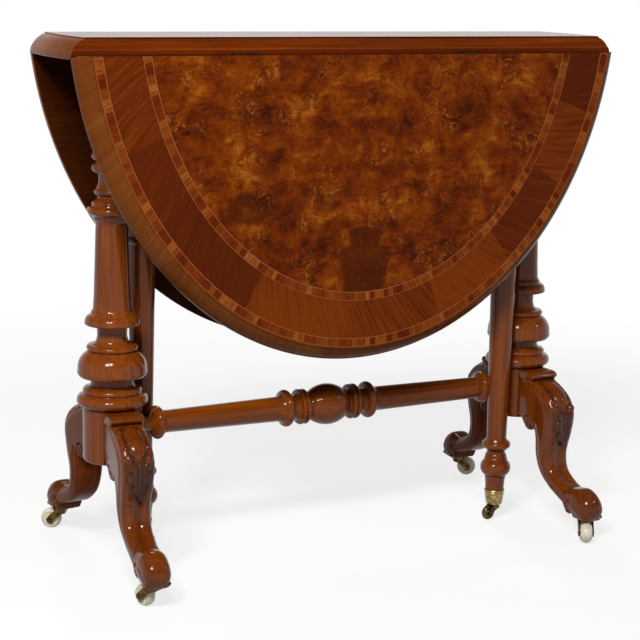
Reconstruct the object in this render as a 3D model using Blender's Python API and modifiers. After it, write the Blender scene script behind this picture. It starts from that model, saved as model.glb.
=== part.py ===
# Sutherland table: a narrow fixed board on two turned columns with scroll legs,
# a drop leaf hinged to each long edge, and a swing leg that carries each raised leaf.
# Metres, Z up, origin on the floor under the middle of the table, long side along X.
import math

import bmesh
import bpy
import numpy as np
from mathutils import Matrix, Vector

# Top: one oval, cut along two joint lines into the board and its leaves
HEIGHT = 0.720
TOP_LENGTH = 0.828
OPEN_WIDTH = 0.992
BOARD_WIDTH = 0.158
TOP_THICKNESS = 0.0275
OVAL_STEPS = 48

# Edge moulding round the oval: a small fillet, a flat ovolo and an upright lip
MOULDING_WIDTH = 0.019
MOULDING_FILLET = 0.0015
OVOLO_DROP = 0.0195
OVOLO_BULGE = 0.0042

# Leaf joint: a shallow rebate, a bead under it, and the pin line of the hinges
PIN_DEPTH = 0.0235
JOINT_GAP = 0.0008
REBATE = 0.0020
REBATE_DEPTH = 0.0148
REBATE_GAP = 0.0005
CHAMFER_GAP = 0.00045

# Veneers laid in the face of each leaf, from the moulding inwards
VENEER = 0.0009
EDGE_LIP = 0.0015
OUTER_BAND = 0.0125
CROSSBAND = 0.052
INNER_BAND = 0.0125

# Brass hinges let into the undersides
HINGE_X = 0.170
HINGE_LENGTH = 0.042
HINGE_MIDDLE = 0.014
HINGE_FLAP = 0.023
FLAP_THICKNESS = 0.0018
BARREL_RADIUS = 0.0030
HINGE_PIN_RADIUS = 0.0014

# End supports
COLUMN_X = 0.326
BLOCK_BOTTOM = 0.151
BLOCK_HEIGHT = 0.075
BLOCK_RADIUS = 0.040
BLOCK_FLAT = 0.033
BLOCK_LIP = 0.003
TENON_RADIUS = 0.012
TENON_LENGTH = 0.025
COLUMN_STEPS = 12
BEARER_LENGTH = 0.124
BEARER_WIDTH = 0.056
BEARER_HEIGHT = 0.034

# Scroll legs
LEG_REACH = 0.202
LEG_SPLAY = math.radians(3.5)
LEG_WIDTH = 0.046
LEG_ROUNDING = 0.005
LEG_TOP_GAP = 0.001

# Stretcher between the blocks
STRETCHER_RISE = 0.044
STRETCHER_TENON_RADIUS = 0.008
STRETCHER_TENON = 0.015
STRETCHER_STEPS = 10

# Underframe and swing legs
RAIL_HEIGHT = 0.050
RAIL_THICKNESS = 0.026
RAIL_OFFSET = 0.040
FIXED_RAIL_LENGTH = 0.200
FINGERS = 5
FINGER_GAP = 0.0004
KNUCKLE_PIN_RADIUS = 0.003
GATE_X = 0.268
GATE_HEAD = 0.042
GATE_HEAD_HEIGHT = 0.085
GATE_STEPS = 10

# Castors under the scroll legs
CASTOR_REACH = 0.178
CASTOR_TRAIL = 0.016
WHEEL_RADIUS = 0.015
WHEEL_WIDTH = 0.016
PLATE_SIZE = 0.026
PLATE_THICKNESS = 0.0020
FORK_HEADROOM = 0.0015

# Castors under the swing legs
GATE_TRAIL = 0.011
GATE_WHEEL_RADIUS = 0.0110
GATE_WHEEL_WIDTH = 0.009
CUP_HEIGHT = 0.0225
CUP_RADIUS = 0.0152
CUP_FOOT_RADIUS = 0.0120
CUP_WALL = 0.0012
CUP_FLOOR = 0.0025

# Shared by both kinds of castor
AXLE_RADIUS = 0.0024
STEM_RADIUS = 0.0035
CHEEK = 0.0022
CHEEK_GAP = 0.0008
WHEEL_STEPS = 12

CLEARANCE = 0.0003
OVERCUT = 0.010

underside = HEIGHT - TOP_THICKNESS
pin_z = HEIGHT - PIN_DEPTH
board_edge = BOARD_WIDTH / 2
pin_y = board_edge + JOINT_GAP / 2
frame_top = underside - CLEARANCE
block_top = BLOCK_BOTTOM + BLOCK_HEIGHT
stretcher_z = BLOCK_BOTTOM + STRETCHER_RISE
toe_base = 2 * WHEEL_RADIUS + FORK_HEADROOM + PLATE_THICKNESS + CLEARANCE
gate_base = 2 * GATE_WHEEL_RADIUS + FORK_HEADROOM

for old in list(bpy.data.objects):
    bpy.data.objects.remove(old, do_unlink=True)
parts = bpy.data.collections.new("sutherland_table")
cutters = bpy.data.collections.new("cutters")
bpy.context.scene.collection.children.link(parts)
bpy.context.scene.collection.children.link(cutters)


def finish(name, colour, roughness, metallic=0.0):
    """A Principled material; the colour is linear red, green and blue."""
    made = bpy.data.materials.new(name)
    made.use_nodes = True
    shader = made.node_tree.nodes["Principled BSDF"]
    shader.inputs["Base Color"].default_value = (*colour, 1.0)
    shader.inputs["Roughness"].default_value = roughness
    shader.inputs["Metallic"].default_value = metallic
    return made


WALNUT = finish("polished_walnut", (0.120, 0.030, 0.008), 0.22)
BEECH = finish("stained_beech", (0.100, 0.035, 0.012), 0.55)
BURR = finish("burr_walnut", (0.190, 0.055, 0.010), 0.20)
STRAIGHT = finish("crossbanded_walnut", (0.110, 0.024, 0.006), 0.20)
TULIPWOOD = finish("tulipwood", (0.330, 0.095, 0.030), 0.22)
BRASS = finish("aged_brass", (0.300, 0.200, 0.060), 0.38, 1.0)
CERAMIC = finish("cream_ceramic", (0.720, 0.620, 0.450), 0.18)
STEEL = finish("steel", (0.400, 0.390, 0.370), 0.40, 1.0)


def place(name, mesh, material):
    """Link a mesh as a named part, or as a hidden cutter where it has no material."""
    made = bpy.data.objects.new(name, mesh)
    if material:
        mesh.materials.append(material)
        parts.objects.link(made)
    else:
        made.hide_render = True
        made.display_type = "WIRE"
        cutters.objects.link(made)
    return made


def from_bmesh(name, shape, material):
    mesh = bpy.data.meshes.new(name)
    shape.to_mesh(mesh)
    shape.free()
    return place(name, mesh, material)


def box(name, low, high, material=None):
    shape = bmesh.new()
    bmesh.ops.create_cube(shape, size=1.0)
    low, high = Vector(low), Vector(high)
    bmesh.ops.scale(shape, vec=high - low, verts=shape.verts)
    bmesh.ops.translate(shape, vec=(low + high) / 2, verts=shape.verts)
    return from_bmesh(name, shape, material)


def rod(name, start, end, radius, segments=12, material=None):
    """A cylinder between two points."""
    start, end = Vector(start), Vector(end)
    turn = (end - start).to_track_quat("Z", "Y").to_matrix().to_4x4()
    shape = bmesh.new()
    bmesh.ops.create_cone(
        shape, cap_ends=True, segments=segments, radius1=radius, radius2=radius,
        depth=(end - start).length, matrix=Matrix.Translation((start + end) / 2) @ turn)
    return from_bmesh(name, shape, material)


def room_for(radius, segments):
    """Corner radius of a many-sided hole that clears a round piece on every flat."""
    return (radius + CLEARANCE) / math.cos(math.pi / segments)


def extruded(name, outline, half, turn, material=None):
    """A flat outline, drawn as a filled 2D curve, with its thickness on both sides."""
    curve = bpy.data.curves.new(name, "CURVE")
    curve.dimensions = "2D"
    curve.fill_mode = "BOTH"
    curve.extrude = half
    spline = curve.splines.new("POLY")
    spline.points.add(len(outline) - 1)
    for point, (across, up) in zip(spline.points, outline):
        point.co = (across, up, 0.0, 1.0)
    spline.use_cyclic_u = True
    drawn = bpy.data.objects.new(name + "_outline", curve)
    bpy.context.scene.collection.objects.link(drawn)
    graph = bpy.context.evaluated_depsgraph_get()
    mesh = bpy.data.meshes.new_from_object(drawn.evaluated_get(graph))
    bpy.data.objects.remove(drawn, do_unlink=True)
    shape = bmesh.new()
    shape.from_mesh(mesh)
    bmesh.ops.remove_doubles(shape, verts=shape.verts, dist=0.00001)
    shape.normal_update()
    caps = [face for face in shape.faces if abs(face.normal.z) > 0.5 or face.calc_area() < 1e-9]
    bmesh.ops.delete(shape, geom=caps, context="FACES")
    bmesh.ops.holes_fill(shape, edges=[edge for edge in shape.edges if edge.is_boundary])
    bmesh.ops.recalc_face_normals(shape, faces=shape.faces)
    bmesh.ops.transform(shape, matrix=turn, verts=shape.verts)
    shape.to_mesh(mesh)
    shape.free()
    mesh.name = name
    return place(name, mesh, material)


FACING_X = Matrix(((0, 0, 1, 0), (1, 0, 0, 0), (0, 1, 0, 0), (0, 0, 0, 1)))
FACING_Y = Matrix(((1, 0, 0, 0), (0, 0, -1, 0), (0, 1, 0, 0), (0, 0, 0, 1)))


def boolean(target, tool, operation="DIFFERENCE"):
    step = target.modifiers.new(tool.name, "BOOLEAN")
    step.operation = operation
    step.object = tool
    return target


def arc(start, end, bulge, steps):
    """Points after start along a circular arc; a positive bulge swells to the left hand."""
    start, end = Vector(start), Vector(end)
    chord = end - start
    side = Vector((-chord.y, chord.x)).normalized()
    half = math.atan2(bulge, chord.length / 2)
    centre = (start + end) / 2 - side * (chord.length / 2) / math.tan(2 * half)
    turn = -4 * half
    return [tuple(centre + Matrix.Rotation(turn * k / steps, 2) @ (start - centre))
            for k in range(1, steps + 1)]


def path(*stations):
    """Turned outline from top to bottom: (radius, height), with a bulge for a curved stretch."""
    points = [stations[0]]
    for station in stations[1:]:
        if len(station) == 3:
            points += arc(points[-1], station[:2], station[2], 2 if abs(station[2]) < 0.006 else 3)
        else:
            points.append(station)
    return points


def turned(name, outline, steps, material=None, closed=False):
    """A profile swept round the object's Z axis."""
    mesh = bpy.data.meshes.new(name)
    count = len(outline)
    edges = [(k, k + 1) for k in range(count - 1)]
    if closed:
        edges.append((count - 1, 0))
    mesh.from_pydata([(radius, 0.0, height) for radius, height in outline], edges, [])
    made = place(name, mesh, material)
    sweep = made.modifiers.new("turn", "SCREW")
    sweep.steps = steps
    sweep.render_steps = steps
    sweep.use_merge_vertices = True
    sweep.merge_threshold = 0.00002
    sweep.use_smooth_shade = True
    return made


def attach(pieces, pivot):
    """Let pieces modelled in place move with an empty that stands on their joint."""
    for piece in pieces:
        piece.parent = pivot
        piece.matrix_parent_inverse = Matrix.Translation(-pivot.location)


def joint(name, location):
    pivot = bpy.data.objects.new(name, None)
    pivot.location = location
    pivot.empty_display_size = 0.03
    parts.objects.link(pivot)
    return pivot


def oval_ring(inset, height):
    """Corners of the oval, drawn in by an inset, at one height."""
    angles = np.arange(OVAL_STEPS) * 2 * math.pi / OVAL_STEPS
    return [((TOP_LENGTH / 2 - inset) * math.cos(angle), (OPEN_WIDTH / 2 - inset) * math.sin(angle), height)
            for angle in angles]


def oval_blank(name, recess, material):
    """The moulded oval top, with a shallow recess for veneer where one is asked for."""
    shoulder = HEIGHT - MOULDING_FILLET
    lip = shoulder - OVOLO_DROP
    section = [(MOULDING_WIDTH, HEIGHT), (MOULDING_WIDTH, shoulder)]
    section += arc((MOULDING_WIDTH, shoulder), (0.0, lip), -OVOLO_BULGE, 4)
    section.append((0.0, underside))
    if recess:
        inner = MOULDING_WIDTH + EDGE_LIP
        section = [(inner, HEIGHT - recess), (inner, HEIGHT)] + section
    shape = bmesh.new()
    rings = [[shape.verts.new(corner) for corner in oval_ring(*station)] for station in section]
    for upper, lower in zip(rings, rings[1:]):
        for k in range(OVAL_STEPS):
            after = (k + 1) % OVAL_STEPS
            shape.faces.new((upper[k], lower[k], lower[after], upper[after]))
    shape.faces.new(rings[0])
    shape.faces.new(reversed(rings[-1]))
    return from_bmesh(name, shape, material)


def board_section():
    """Half of the board's cross section: rebate, bead and the chamfer over the hinge pins."""
    ledge = HEIGHT - REBATE_DEPTH
    foot = board_edge - (TOP_THICKNESS - PIN_DEPTH) - CHAMFER_GAP
    half = [(board_edge - REBATE, HEIGHT + OVERCUT), (board_edge - REBATE, ledge)]
    half += arc((board_edge - REBATE, ledge), (board_edge, ledge - REBATE), REBATE * 0.29, 3)
    half += [(board_edge, pin_z + CHAMFER_GAP), (foot, underside), (foot, underside - OVERCUT)]
    return half


def leaf_section():
    """Cross section kept by a raised leaf: a tongue over the bead and a chamfer by the pins."""
    tongue = board_edge - REBATE + JOINT_GAP
    edge = board_edge + JOINT_GAP
    tongue_foot = HEIGHT - REBATE_DEPTH + REBATE_GAP
    foot = edge + (TOP_THICKNESS - PIN_DEPTH) + CHAMFER_GAP
    far = OPEN_WIDTH / 2 + OVERCUT
    return [(tongue, HEIGHT + OVERCUT), (tongue, tongue_foot), (edge, tongue_foot),
            (edge, pin_z + CHAMFER_GAP), (foot, underside), (foot, underside - OVERCUT),
            (far, underside - OVERCUT), (far, HEIGHT + OVERCUT)]


def sided(outline, side):
    return [(across * side, up) for across, up in outline]


def hinge_cutters(name, x, side, inward):
    """Room in one wood edge for a flap, its turning tabs and the barrel; inward is -1 on the board."""
    half = HINGE_LENGTH / 2 + CLEARANCE
    sweep = math.hypot(TOP_THICKNESS - PIN_DEPTH, TOP_THICKNESS - PIN_DEPTH - FLAP_THICKNESS)
    near = side * (pin_y - inward * JOINT_GAP)
    rooms = []
    for label, reach, top_z in (("flap", HINGE_FLAP, underside + FLAP_THICKNESS), ("tab", sweep, pin_z)):
        ys = sorted((near, side * (pin_y + inward * (reach + CLEARANCE))))
        rooms.append(box(f"{name}_{label}_room", (x - half, ys[0], underside - OVERCUT),
                         (x + half, ys[1], top_z + CLEARANCE)))
    rooms.append(rod(name + "_barrel_room", (x - half, side * pin_y, pin_z), (x + half, side * pin_y, pin_z),
                     room_for(BARREL_RADIUS, 10), 10))
    return rooms


def hinge_flap(name, x, side, inward, barrels, turns):
    """A flap plate with tabs that wrap into the barrels it owns."""
    half = HINGE_LENGTH / 2
    near = BARREL_RADIUS + CLEARANCE + FLAP_THICKNESS
    outline = [(-half, HINGE_FLAP), (-half, near)]
    for start, end in barrels:
        tab = (start + CLEARANCE, end - CLEARANCE)
        outline += [(tab[0], near), (tab[0], 0.0), (tab[1], 0.0), (tab[1], near)]
    outline += [(half, near), (half, HINGE_FLAP)]
    turn = Matrix.Translation((x, side * pin_y, underside + FLAP_THICKNESS / 2))
    plate = extruded(name, [(across, side * inward * up) for across, up in outline],
                     FLAP_THICKNESS / 2, turn, BRASS)
    made = [plate]
    for k, (start, end) in enumerate(barrels):
        barrel = rod(f"{name}_barrel_{k}", (x + start, side * pin_y, pin_z), (x + end, side * pin_y, pin_z),
                     BARREL_RADIUS, 10)
        made.append(barrel)
        boolean(plate, barrel, "UNION")
    pin_radius = room_for(HINGE_PIN_RADIUS, 8) if turns else HINGE_PIN_RADIUS
    pin_half = half - (0.0 if turns else CLEARANCE)
    pin = rod(name + ("_bore" if turns else "_pin"), (x - pin_half, side * pin_y, pin_z),
              (x + pin_half, side * pin_y, pin_z), pin_radius, 8)
    made.append(pin)
    boolean(plate, pin, "DIFFERENCE" if turns else "UNION")
    return made


def arc_of_oval(inset, start_y):
    """Points of the drawn-in oval from one end of a joint line round to the other."""
    corners = [corner[:2] for corner in oval_ring(inset, 0.0)[:OVAL_STEPS // 2]]
    xs, ys = zip(*corners[:OVAL_STEPS // 4 + 1])
    end = float(np.interp(start_y, ys, xs))
    return [(end, start_y)] + [corner for corner in corners if corner[1] > start_y] + [(-end, start_y)]


def veneers(name, side):
    """Burr field, inner inlay, crossband and outer inlay of one leaf, laid in its recess."""
    start_y = board_edge - REBATE + JOINT_GAP + CLEARANCE
    turn = Matrix.Translation((0, 0, HEIGHT - VENEER / 2))
    inset = MOULDING_WIDTH + EDGE_LIP
    made = []
    for label, width, material in (("outer_inlay", OUTER_BAND, TULIPWOOD),
                                   ("crossband", CROSSBAND, STRAIGHT),
                                   ("inner_inlay", INNER_BAND, TULIPWOOD)):
        outer = arc_of_oval(inset + CLEARANCE, start_y)
        inset += width
        inner = arc_of_oval(inset, start_y)
        band = [(across, out * side) for across, out in outer + inner[::-1]]
        made.append(extruded(f"{name}_{label}", band, VENEER / 2, turn, material))
    field = [(across, out * side) for across, out in arc_of_oval(inset + CLEARANCE, start_y)]
    made.append(extruded(name + "_burr_field", field, VENEER / 2, turn, BURR))
    return made


def top():
    """Board and leaves, cut from one oval, with hinges; the leaves hang at rest."""
    board = oval_blank("top_board", 0.0, WALNUT)
    half = board_section()
    board_tool = extruded("board_outline", half + sided(half, -1)[::-1], TOP_LENGTH, FACING_X)
    boolean(board, board_tool, "INTERSECT")
    for name, side in (("front", -1), ("rear", 1)):
        leaf = oval_blank(name + "_leaf", VENEER + CLEARANCE, WALNUT)
        tool = extruded(name + "_leaf_outline", sided(leaf_section(), side), TOP_LENGTH, FACING_X)
        boolean(leaf, tool, "INTERSECT")
        hung = [leaf, tool] + veneers(name, side)
        middle = HINGE_MIDDLE / 2
        end = HINGE_LENGTH / 2
        for hand, x in (("left", -HINGE_X), ("right", HINGE_X)):
            label = f"{name}_{hand}_hinge"
            for room in hinge_cutters(label + "_board", x, side, -1):
                boolean(board, room)
            for room in hinge_cutters(label + "_leaf", x, side, 1):
                boolean(leaf, room)
                hung.append(room)
            hinge_flap(label + "_board_flap", x, side, -1, [(-end, -middle), (middle, end)], False)
            hung += hinge_flap(label + "_leaf_flap", x, side, 1,
                               [(-middle + CLEARANCE, middle - CLEARANCE)], True)
        pivot = joint(name + "_leaf_pivot", (0.0, side * pin_y, pin_z))
        attach(hung, pivot)
        pivot.rotation_euler.x = -side * math.pi / 2


def column_outline():
    """Turned column: its head hangs from the bearer, its foot stands on the block."""
    head = frame_top - BEARER_HEIGHT - CLEARANCE
    foot = block_top + CLEARANCE
    return path(
        (0.0, head + TENON_LENGTH), (TENON_RADIUS, head + TENON_LENGTH), (TENON_RADIUS, head),
        (0.031, head), (0.031, head - 0.012, 0.003), (0.026, head - 0.014),
        (0.018, head - 0.055, -0.004), (0.022, head - 0.088, 0.003),
        (0.022, head - 0.101, 0.0045), (0.022, head - 0.104), (0.022, head - 0.117, 0.005),
        (0.018, head - 0.121), (0.019, head - 0.137), (0.021, head - 0.148, 0.003),
        (0.024, head - 0.152), (0.026, head - 0.160), (0.029, head - 0.161),
        (0.0278, head - 0.173, 0.0044), (0.024, head - 0.179), (0.0216, head - 0.189),
        (0.0244, foot + 0.150), (0.0284, foot + 0.1285, -0.0015), (0.0327, foot + 0.122),
        (0.0360, foot + 0.1115, 0.0018), (0.0206, foot + 0.109), (0.0200, foot + 0.0905),
        (0.031, foot + 0.084, -0.002), (0.0325, foot + 0.0765, 0.002), (0.0345, foot + 0.074),
        (0.0462, foot + 0.050, 0.004), (0.0450, foot + 0.042), (0.0290, foot + 0.040),
        (0.0290, foot + 0.0345), (0.035, foot + 0.0255, -0.0025), (0.0385, foot + 0.017, 0.0018),
        (0.0405, foot + 0.0165), (0.0430, foot + 0.001, 0.006), (TENON_RADIUS, foot),
        (TENON_RADIUS, foot - TENON_LENGTH), (0.0, foot - TENON_LENGTH))


def smooth_outline(knots, steps):
    """A closed outline through knots; a knot marked as a corner keeps its sharp turn."""
    count = len(knots)
    spots = [Vector(knot[:2]) for knot in knots]
    sharp = [len(knot) == 3 for knot in knots]
    points = []
    for k in range(count):
        here, there = spots[k], spots[(k + 1) % count]
        step = there - here
        leave = step if sharp[k] else (there - spots[k - 1]) / 2
        arrive = step if sharp[(k + 1) % count] else (spots[(k + 2) % count] - here) / 2
        spans = 1 if sharp[k] and sharp[(k + 1) % count] else steps
        for t in (j / spans for j in range(spans)):
            points.append((2 * t**3 - 3 * t**2 + 1) * here + (t**3 - 2 * t**2 + t) * leave
                          + (3 * t**2 - 2 * t**3) * there + (t**3 - t**2) * arrive)
    return points


CORNER = True
# Side view of a scroll leg in its box: across from the block to the toe, up from the toe to the cap.
# It runs over the cap, knee, ankle and toe, then back under by the toe scroll and the knee scroll.
LEG_KNOTS = (
    (0.00, 1.00, CORNER), (0.165, 1.00), (0.212, 0.972), (0.181, 0.938, CORNER), (0.310, 0.905),
    (0.440, 0.832), (0.507, 0.712), (0.488, 0.545), (0.460, 0.410), (0.500, 0.295), (0.610, 0.222),
    (0.711, 0.201), (0.836, 0.211), (0.953, 0.158), (1.00, 0.078), (0.960, 0.00, CORNER),
    (0.790, 0.00, CORNER), (0.722, 0.014), (0.692, 0.060, CORNER), (0.612, 0.094), (0.478, 0.148),
    (0.350, 0.238), (0.272, 0.366), (0.248, 0.498), (0.242, 0.590, CORNER), (0.205, 0.555),
    (0.140, 0.553), (0.085, 0.603), (0.055, 0.640, CORNER), (0.00, 0.640, CORNER))
# Share of the full leg width at each height share, from the toe up to the cap
LEG_WIDTHS = ((0.00, 0.78), (0.08, 0.86), (0.20, 0.82), (0.42, 0.86), (0.75, 1.00), (1.00, 0.96))


def facing(x, side):
    """Turn of a leg about its column: front or rear, splayed a little towards the table's end."""
    return (0.0 if side < 0 else math.pi) - math.copysign(LEG_SPLAY, x * side)


def scroll_leg(name, x, side):
    """A scroll leg: its side view lofted across the width, with rounded edges and a waist."""
    root = BLOCK_FLAT + CLEARANCE
    span = LEG_REACH - root
    rise = block_top - LEG_TOP_GAP - toe_base
    outline = [Vector((root + across * span, toe_base + up * rise))
               for across, up in smooth_outline(LEG_KNOTS, 2)]
    count = len(outline)
    inward = []
    for k in range(count):
        along = (outline[(k + 1) % count] - outline[k - 1]).normalized()
        inward.append(Vector((along.y, -along.x)))
    levels, shares = zip(*LEG_WIDTHS)
    quarter = [(0.0, 1.0), (1 - math.sqrt(0.5), 1 - math.sqrt(0.5)), (1.0, 0.0)]
    layers = [(-1, *step) for step in quarter] + [(1, *step) for step in reversed(quarter)]
    shape = bmesh.new()
    rings = []
    for hand, drawn, inset in layers:
        ring = []
        for spot, normal in zip(outline, inward):
            half = LEG_WIDTH / 2 * np.interp((spot.y - toe_base) / rise, levels, shares)
            across, up = spot + normal * LEG_ROUNDING * inset
            across = max(across, root)
            up = max(up, toe_base)
            ring.append(shape.verts.new((hand * (half - LEG_ROUNDING * drawn), -across, up)))
        rings.append(ring)
    for first, second in zip(rings, rings[1:]):
        for k in range(count):
            after = (k + 1) % count
            shape.faces.new((first[k], first[after], second[after], second[k]))
    shape.faces.new(reversed(rings[0]))
    shape.faces.new(rings[-1])
    bmesh.ops.recalc_face_normals(shape, faces=shape.faces)
    made = from_bmesh(name, shape, WALNUT)
    made.location.x = x
    made.rotation_euler.z = facing(x, side)
    return made


def end_support(name, x):
    """Bearer, turned column, drum block and the two legs of one end."""
    half = BEARER_LENGTH / 2
    low = frame_top - BEARER_HEIGHT
    step = BEARER_HEIGHT / 3
    quirk = half - step / 2
    ogee = [(half, frame_top), (half, frame_top - step * 0.9), (quirk, frame_top - step)]
    ogee += arc(ogee[-1], (quirk - step, low + step), -step / 4, 3)
    ogee += arc(ogee[-1], (quirk - 3 * step, low), step / 4, 3)
    bearer = extruded(name + "_bearer", ogee + sided(ogee, -1)[::-1], BEARER_WIDTH / 2, FACING_X, BEECH)
    bearer.location.x = x
    column = turned(name + "_column", column_outline(), COLUMN_STEPS, WALNUT)
    column.location.x = x
    head_room = rod(name + "_head_room", (x, 0, low - OVERCUT), (x, 0, low + TENON_LENGTH + CLEARANCE),
                    room_for(TENON_RADIUS, COLUMN_STEPS), COLUMN_STEPS)
    boolean(bearer, head_room)
    bore = room_for(TENON_RADIUS, COLUMN_STEPS)
    block = turned(name + "_block", path(
        (0.0, block_top - TENON_LENGTH), (bore, block_top - TENON_LENGTH), (bore, block_top),
        (BLOCK_RADIUS, block_top), (BLOCK_RADIUS, BLOCK_BOTTOM + BLOCK_LIP),
        (BLOCK_RADIUS - BLOCK_LIP, BLOCK_BOTTOM, BLOCK_LIP * 0.29), (0.0, BLOCK_BOTTOM)),
        COLUMN_STEPS, WALNUT)
    block.location.x = x
    reach = BLOCK_RADIUS + OVERCUT
    for label, side in (("front", -1), ("rear", 1)):
        flat = box(f"{name}_{label}_flat", (-reach, -reach, BLOCK_BOTTOM - OVERCUT),
                   (reach, -BLOCK_FLAT, block_top + OVERCUT))
        flat.location.x = x
        flat.rotation_euler.z = facing(x, side)
        boolean(block, flat)
        scroll_leg(f"{name}_{label}_leg", x, side)
    inner = x - math.copysign(BLOCK_RADIUS, x)
    boolean(block, rod(name + "_stretcher_room", (inner + math.copysign(STRETCHER_TENON, x), 0, stretcher_z),
                       (inner - math.copysign(OVERCUT, x), 0, stretcher_z),
                       room_for(STRETCHER_TENON_RADIUS, STRETCHER_STEPS), STRETCHER_STEPS))


def stretcher():
    """Turned stretcher: a bulb between paired rings, plain shafts, and a flange by each block."""
    end = COLUMN_X - BLOCK_RADIUS - CLEARANCE
    half = path(
        (0.0, end + STRETCHER_TENON), (STRETCHER_TENON_RADIUS, end + STRETCHER_TENON),
        (STRETCHER_TENON_RADIUS, end), (0.012, end), (0.010, end - 0.014, -0.001),
        (0.019, end - 0.018), (0.019, end - 0.030, 0.0045), (0.016, end - 0.034),
        (0.0175, 0.080), (0.022, 0.071, -0.001), (0.022, 0.060, 0.005), (0.017, 0.055),
        (0.017, 0.048), (0.022, 0.044), (0.022, 0.033, 0.004), (0.017, 0.029))
    bulb = arc(half[-1], (0.017, -0.029), 0.0115, 6)
    mirrored = [(radius, -along) for radius, along in half[-2::-1]]
    made = turned("stretcher", half + bulb + mirrored, STRETCHER_STEPS, WALNUT)
    made.location.z = stretcher_z
    made.rotation_euler.y = math.pi / 2


def knuckle_rail(name, pivot, towards, length, others):
    """A rail with a round wooden knuckle on the pivot, gapped for the fingers of its mate."""
    low = frame_top - RAIL_HEIGHT
    half = RAIL_THICKNESS / 2
    finger = RAIL_HEIGHT / FINGERS
    plan = [(length, half), (0.0, half)] + arc((0.0, half), (0.0, -half), -half, 7) + [(length, -half)]
    middle = Matrix.Translation((*pivot, low + RAIL_HEIGHT / 2))
    rail = extruded(name, sided(plan, towards), RAIL_HEIGHT / 2, middle, BEECH)
    made = [rail]
    sweep = half * math.sqrt(2) + CLEARANCE
    for k in others:
        start = low + k * finger - (FINGER_GAP / 2 if k else OVERCUT)
        stop = low + (k + 1) * finger + (FINGER_GAP / 2 if k < FINGERS - 1 else OVERCUT)
        gap = rod(f"{name}_gap_{k}", (*pivot, start), (*pivot, stop), sweep, 14)
        boolean(rail, gap)
        made.append(gap)
    bore = rod(name + "_bore", (*pivot, low - OVERCUT), (*pivot, frame_top + OVERCUT),
               room_for(KNUCKLE_PIN_RADIUS, 12))
    boolean(rail, bore)
    made.append(bore)
    return made


def gate_outline():
    """Turned swing leg: a plain tapering shaft between rings, a bulb, and a foot in the brass cup."""
    head = frame_top - GATE_HEAD_HEIGHT
    foot = gate_base + CUP_FLOOR + 2 * CLEARANCE
    sole = CUP_FOOT_RADIUS - CUP_WALL - CLEARANCE
    rim = CUP_RADIUS - CUP_WALL - CLEARANCE
    cup_top = gate_base + CLEARANCE + CUP_HEIGHT
    return path(
        (0.0, head + 0.004), (0.0195, head + 0.004), (0.0195, head - 0.010), (0.0152, head - 0.014),
        (0.0205, head - 0.020), (0.0205, head - 0.030, 0.003), (0.0163, head - 0.034),
        (0.0192, head - 0.110, 0.002), (0.0208, head - 0.160), (0.0208, head - 0.168, 0.002),
        (0.0192, head - 0.172), (0.0148, cup_top + 0.084), (0.0165, cup_top + 0.0755),
        (0.0170, cup_top + 0.064, 0.0042), (0.0134, cup_top + 0.058, -0.001), (0.0152, cup_top + 0.0525),
        (0.0162, cup_top + 0.0225, 0.0062), (0.0156, cup_top + 0.0195),
        (rim, cup_top), (sole, foot), (0.0, foot))


def castor_parts(name, centre, radius, width, trail, under, material):
    """Fork with its axle and stem, and the wheel; the wheel trails along +X until it is swivelled."""
    x, y = centre
    axle_x = x + trail
    top_z = under - CLEARANCE
    half = width / 2 + CHEEK_GAP + CHEEK
    boss = AXLE_RADIUS + CHEEK
    back = STEM_RADIUS + CHEEK
    sweep = radius + CHEEK_GAP
    bridge = 2 * radius - radius * 0.28
    side_view = [(-back, top_z), (back, top_z), (trail + boss, radius + boss * 0.8),
                 (trail + boss, radius - boss * 0.4), (trail, radius - boss),
                 (trail - boss, radius - boss * 0.4), (-back, bridge)]
    fork = extruded(name + "_fork", side_view, half, Matrix.Translation((x, y, 0)) @ FACING_Y, BRASS)
    inside = half - CHEEK
    slot = rod(name + "_slot", (axle_x, y - inside, radius), (axle_x, y + inside, radius), sweep, 14)
    boolean(fork, slot)
    outside = half + CHEEK / 2
    pin = rod(name + "_axle", (axle_x, y - outside, radius), (axle_x, y + outside, radius), AXLE_RADIUS, 8)
    boolean(fork, pin, "UNION")
    stem = rod(name + "_stem", (x, y, top_z - CHEEK), (x, y, under + CUP_FLOOR - CLEARANCE), STEM_RADIUS, 10)
    boolean(fork, stem, "UNION")
    bore = room_for(AXLE_RADIUS, WHEEL_STEPS)
    hub = radius * 0.55
    wheel = turned(name + "_wheel", path(
        (bore, width / 2), (hub, width / 2), (radius - width * 0.18, width / 2 - width * 0.12),
        (radius - width * 0.18, -width / 2 + width * 0.12, width * 0.18),
        (hub, -width / 2), (bore, -width / 2)), WHEEL_STEPS, material, closed=True)
    wheel.location = (axle_x, y, radius)
    wheel.rotation_euler.x = math.pi / 2
    pivot = joint(name + "_swivel", (x, y, 0.0))
    attach([fork, slot, pin, stem, wheel], pivot)
    return pivot


def leg_castor(name, x, side, heading):
    """Square plate under a toe, with the castor that swivels in it."""
    at = Matrix.Rotation(facing(x, side), 2) @ Vector((0.0, -CASTOR_REACH)) + Vector((x, 0.0))
    half = PLATE_SIZE / 2
    low = toe_base - CLEARANCE - PLATE_THICKNESS
    plate = box(name + "_castor_plate", (-half, -half, low), (half, half, low + PLATE_THICKNESS), BRASS)
    plate.location = (*at, 0.0)
    plate.rotation_euler.z = facing(x, side)
    boolean(plate, rod(name + "_plate_bore", (*at, low - OVERCUT), (*at, toe_base + OVERCUT),
                       room_for(STEM_RADIUS, 12)))
    pivot = castor_parts(name + "_castor", at, WHEEL_RADIUS, WHEEL_WIDTH, CASTOR_TRAIL, low, CERAMIC)
    pivot.rotation_euler.z = math.radians(heading)


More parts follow.
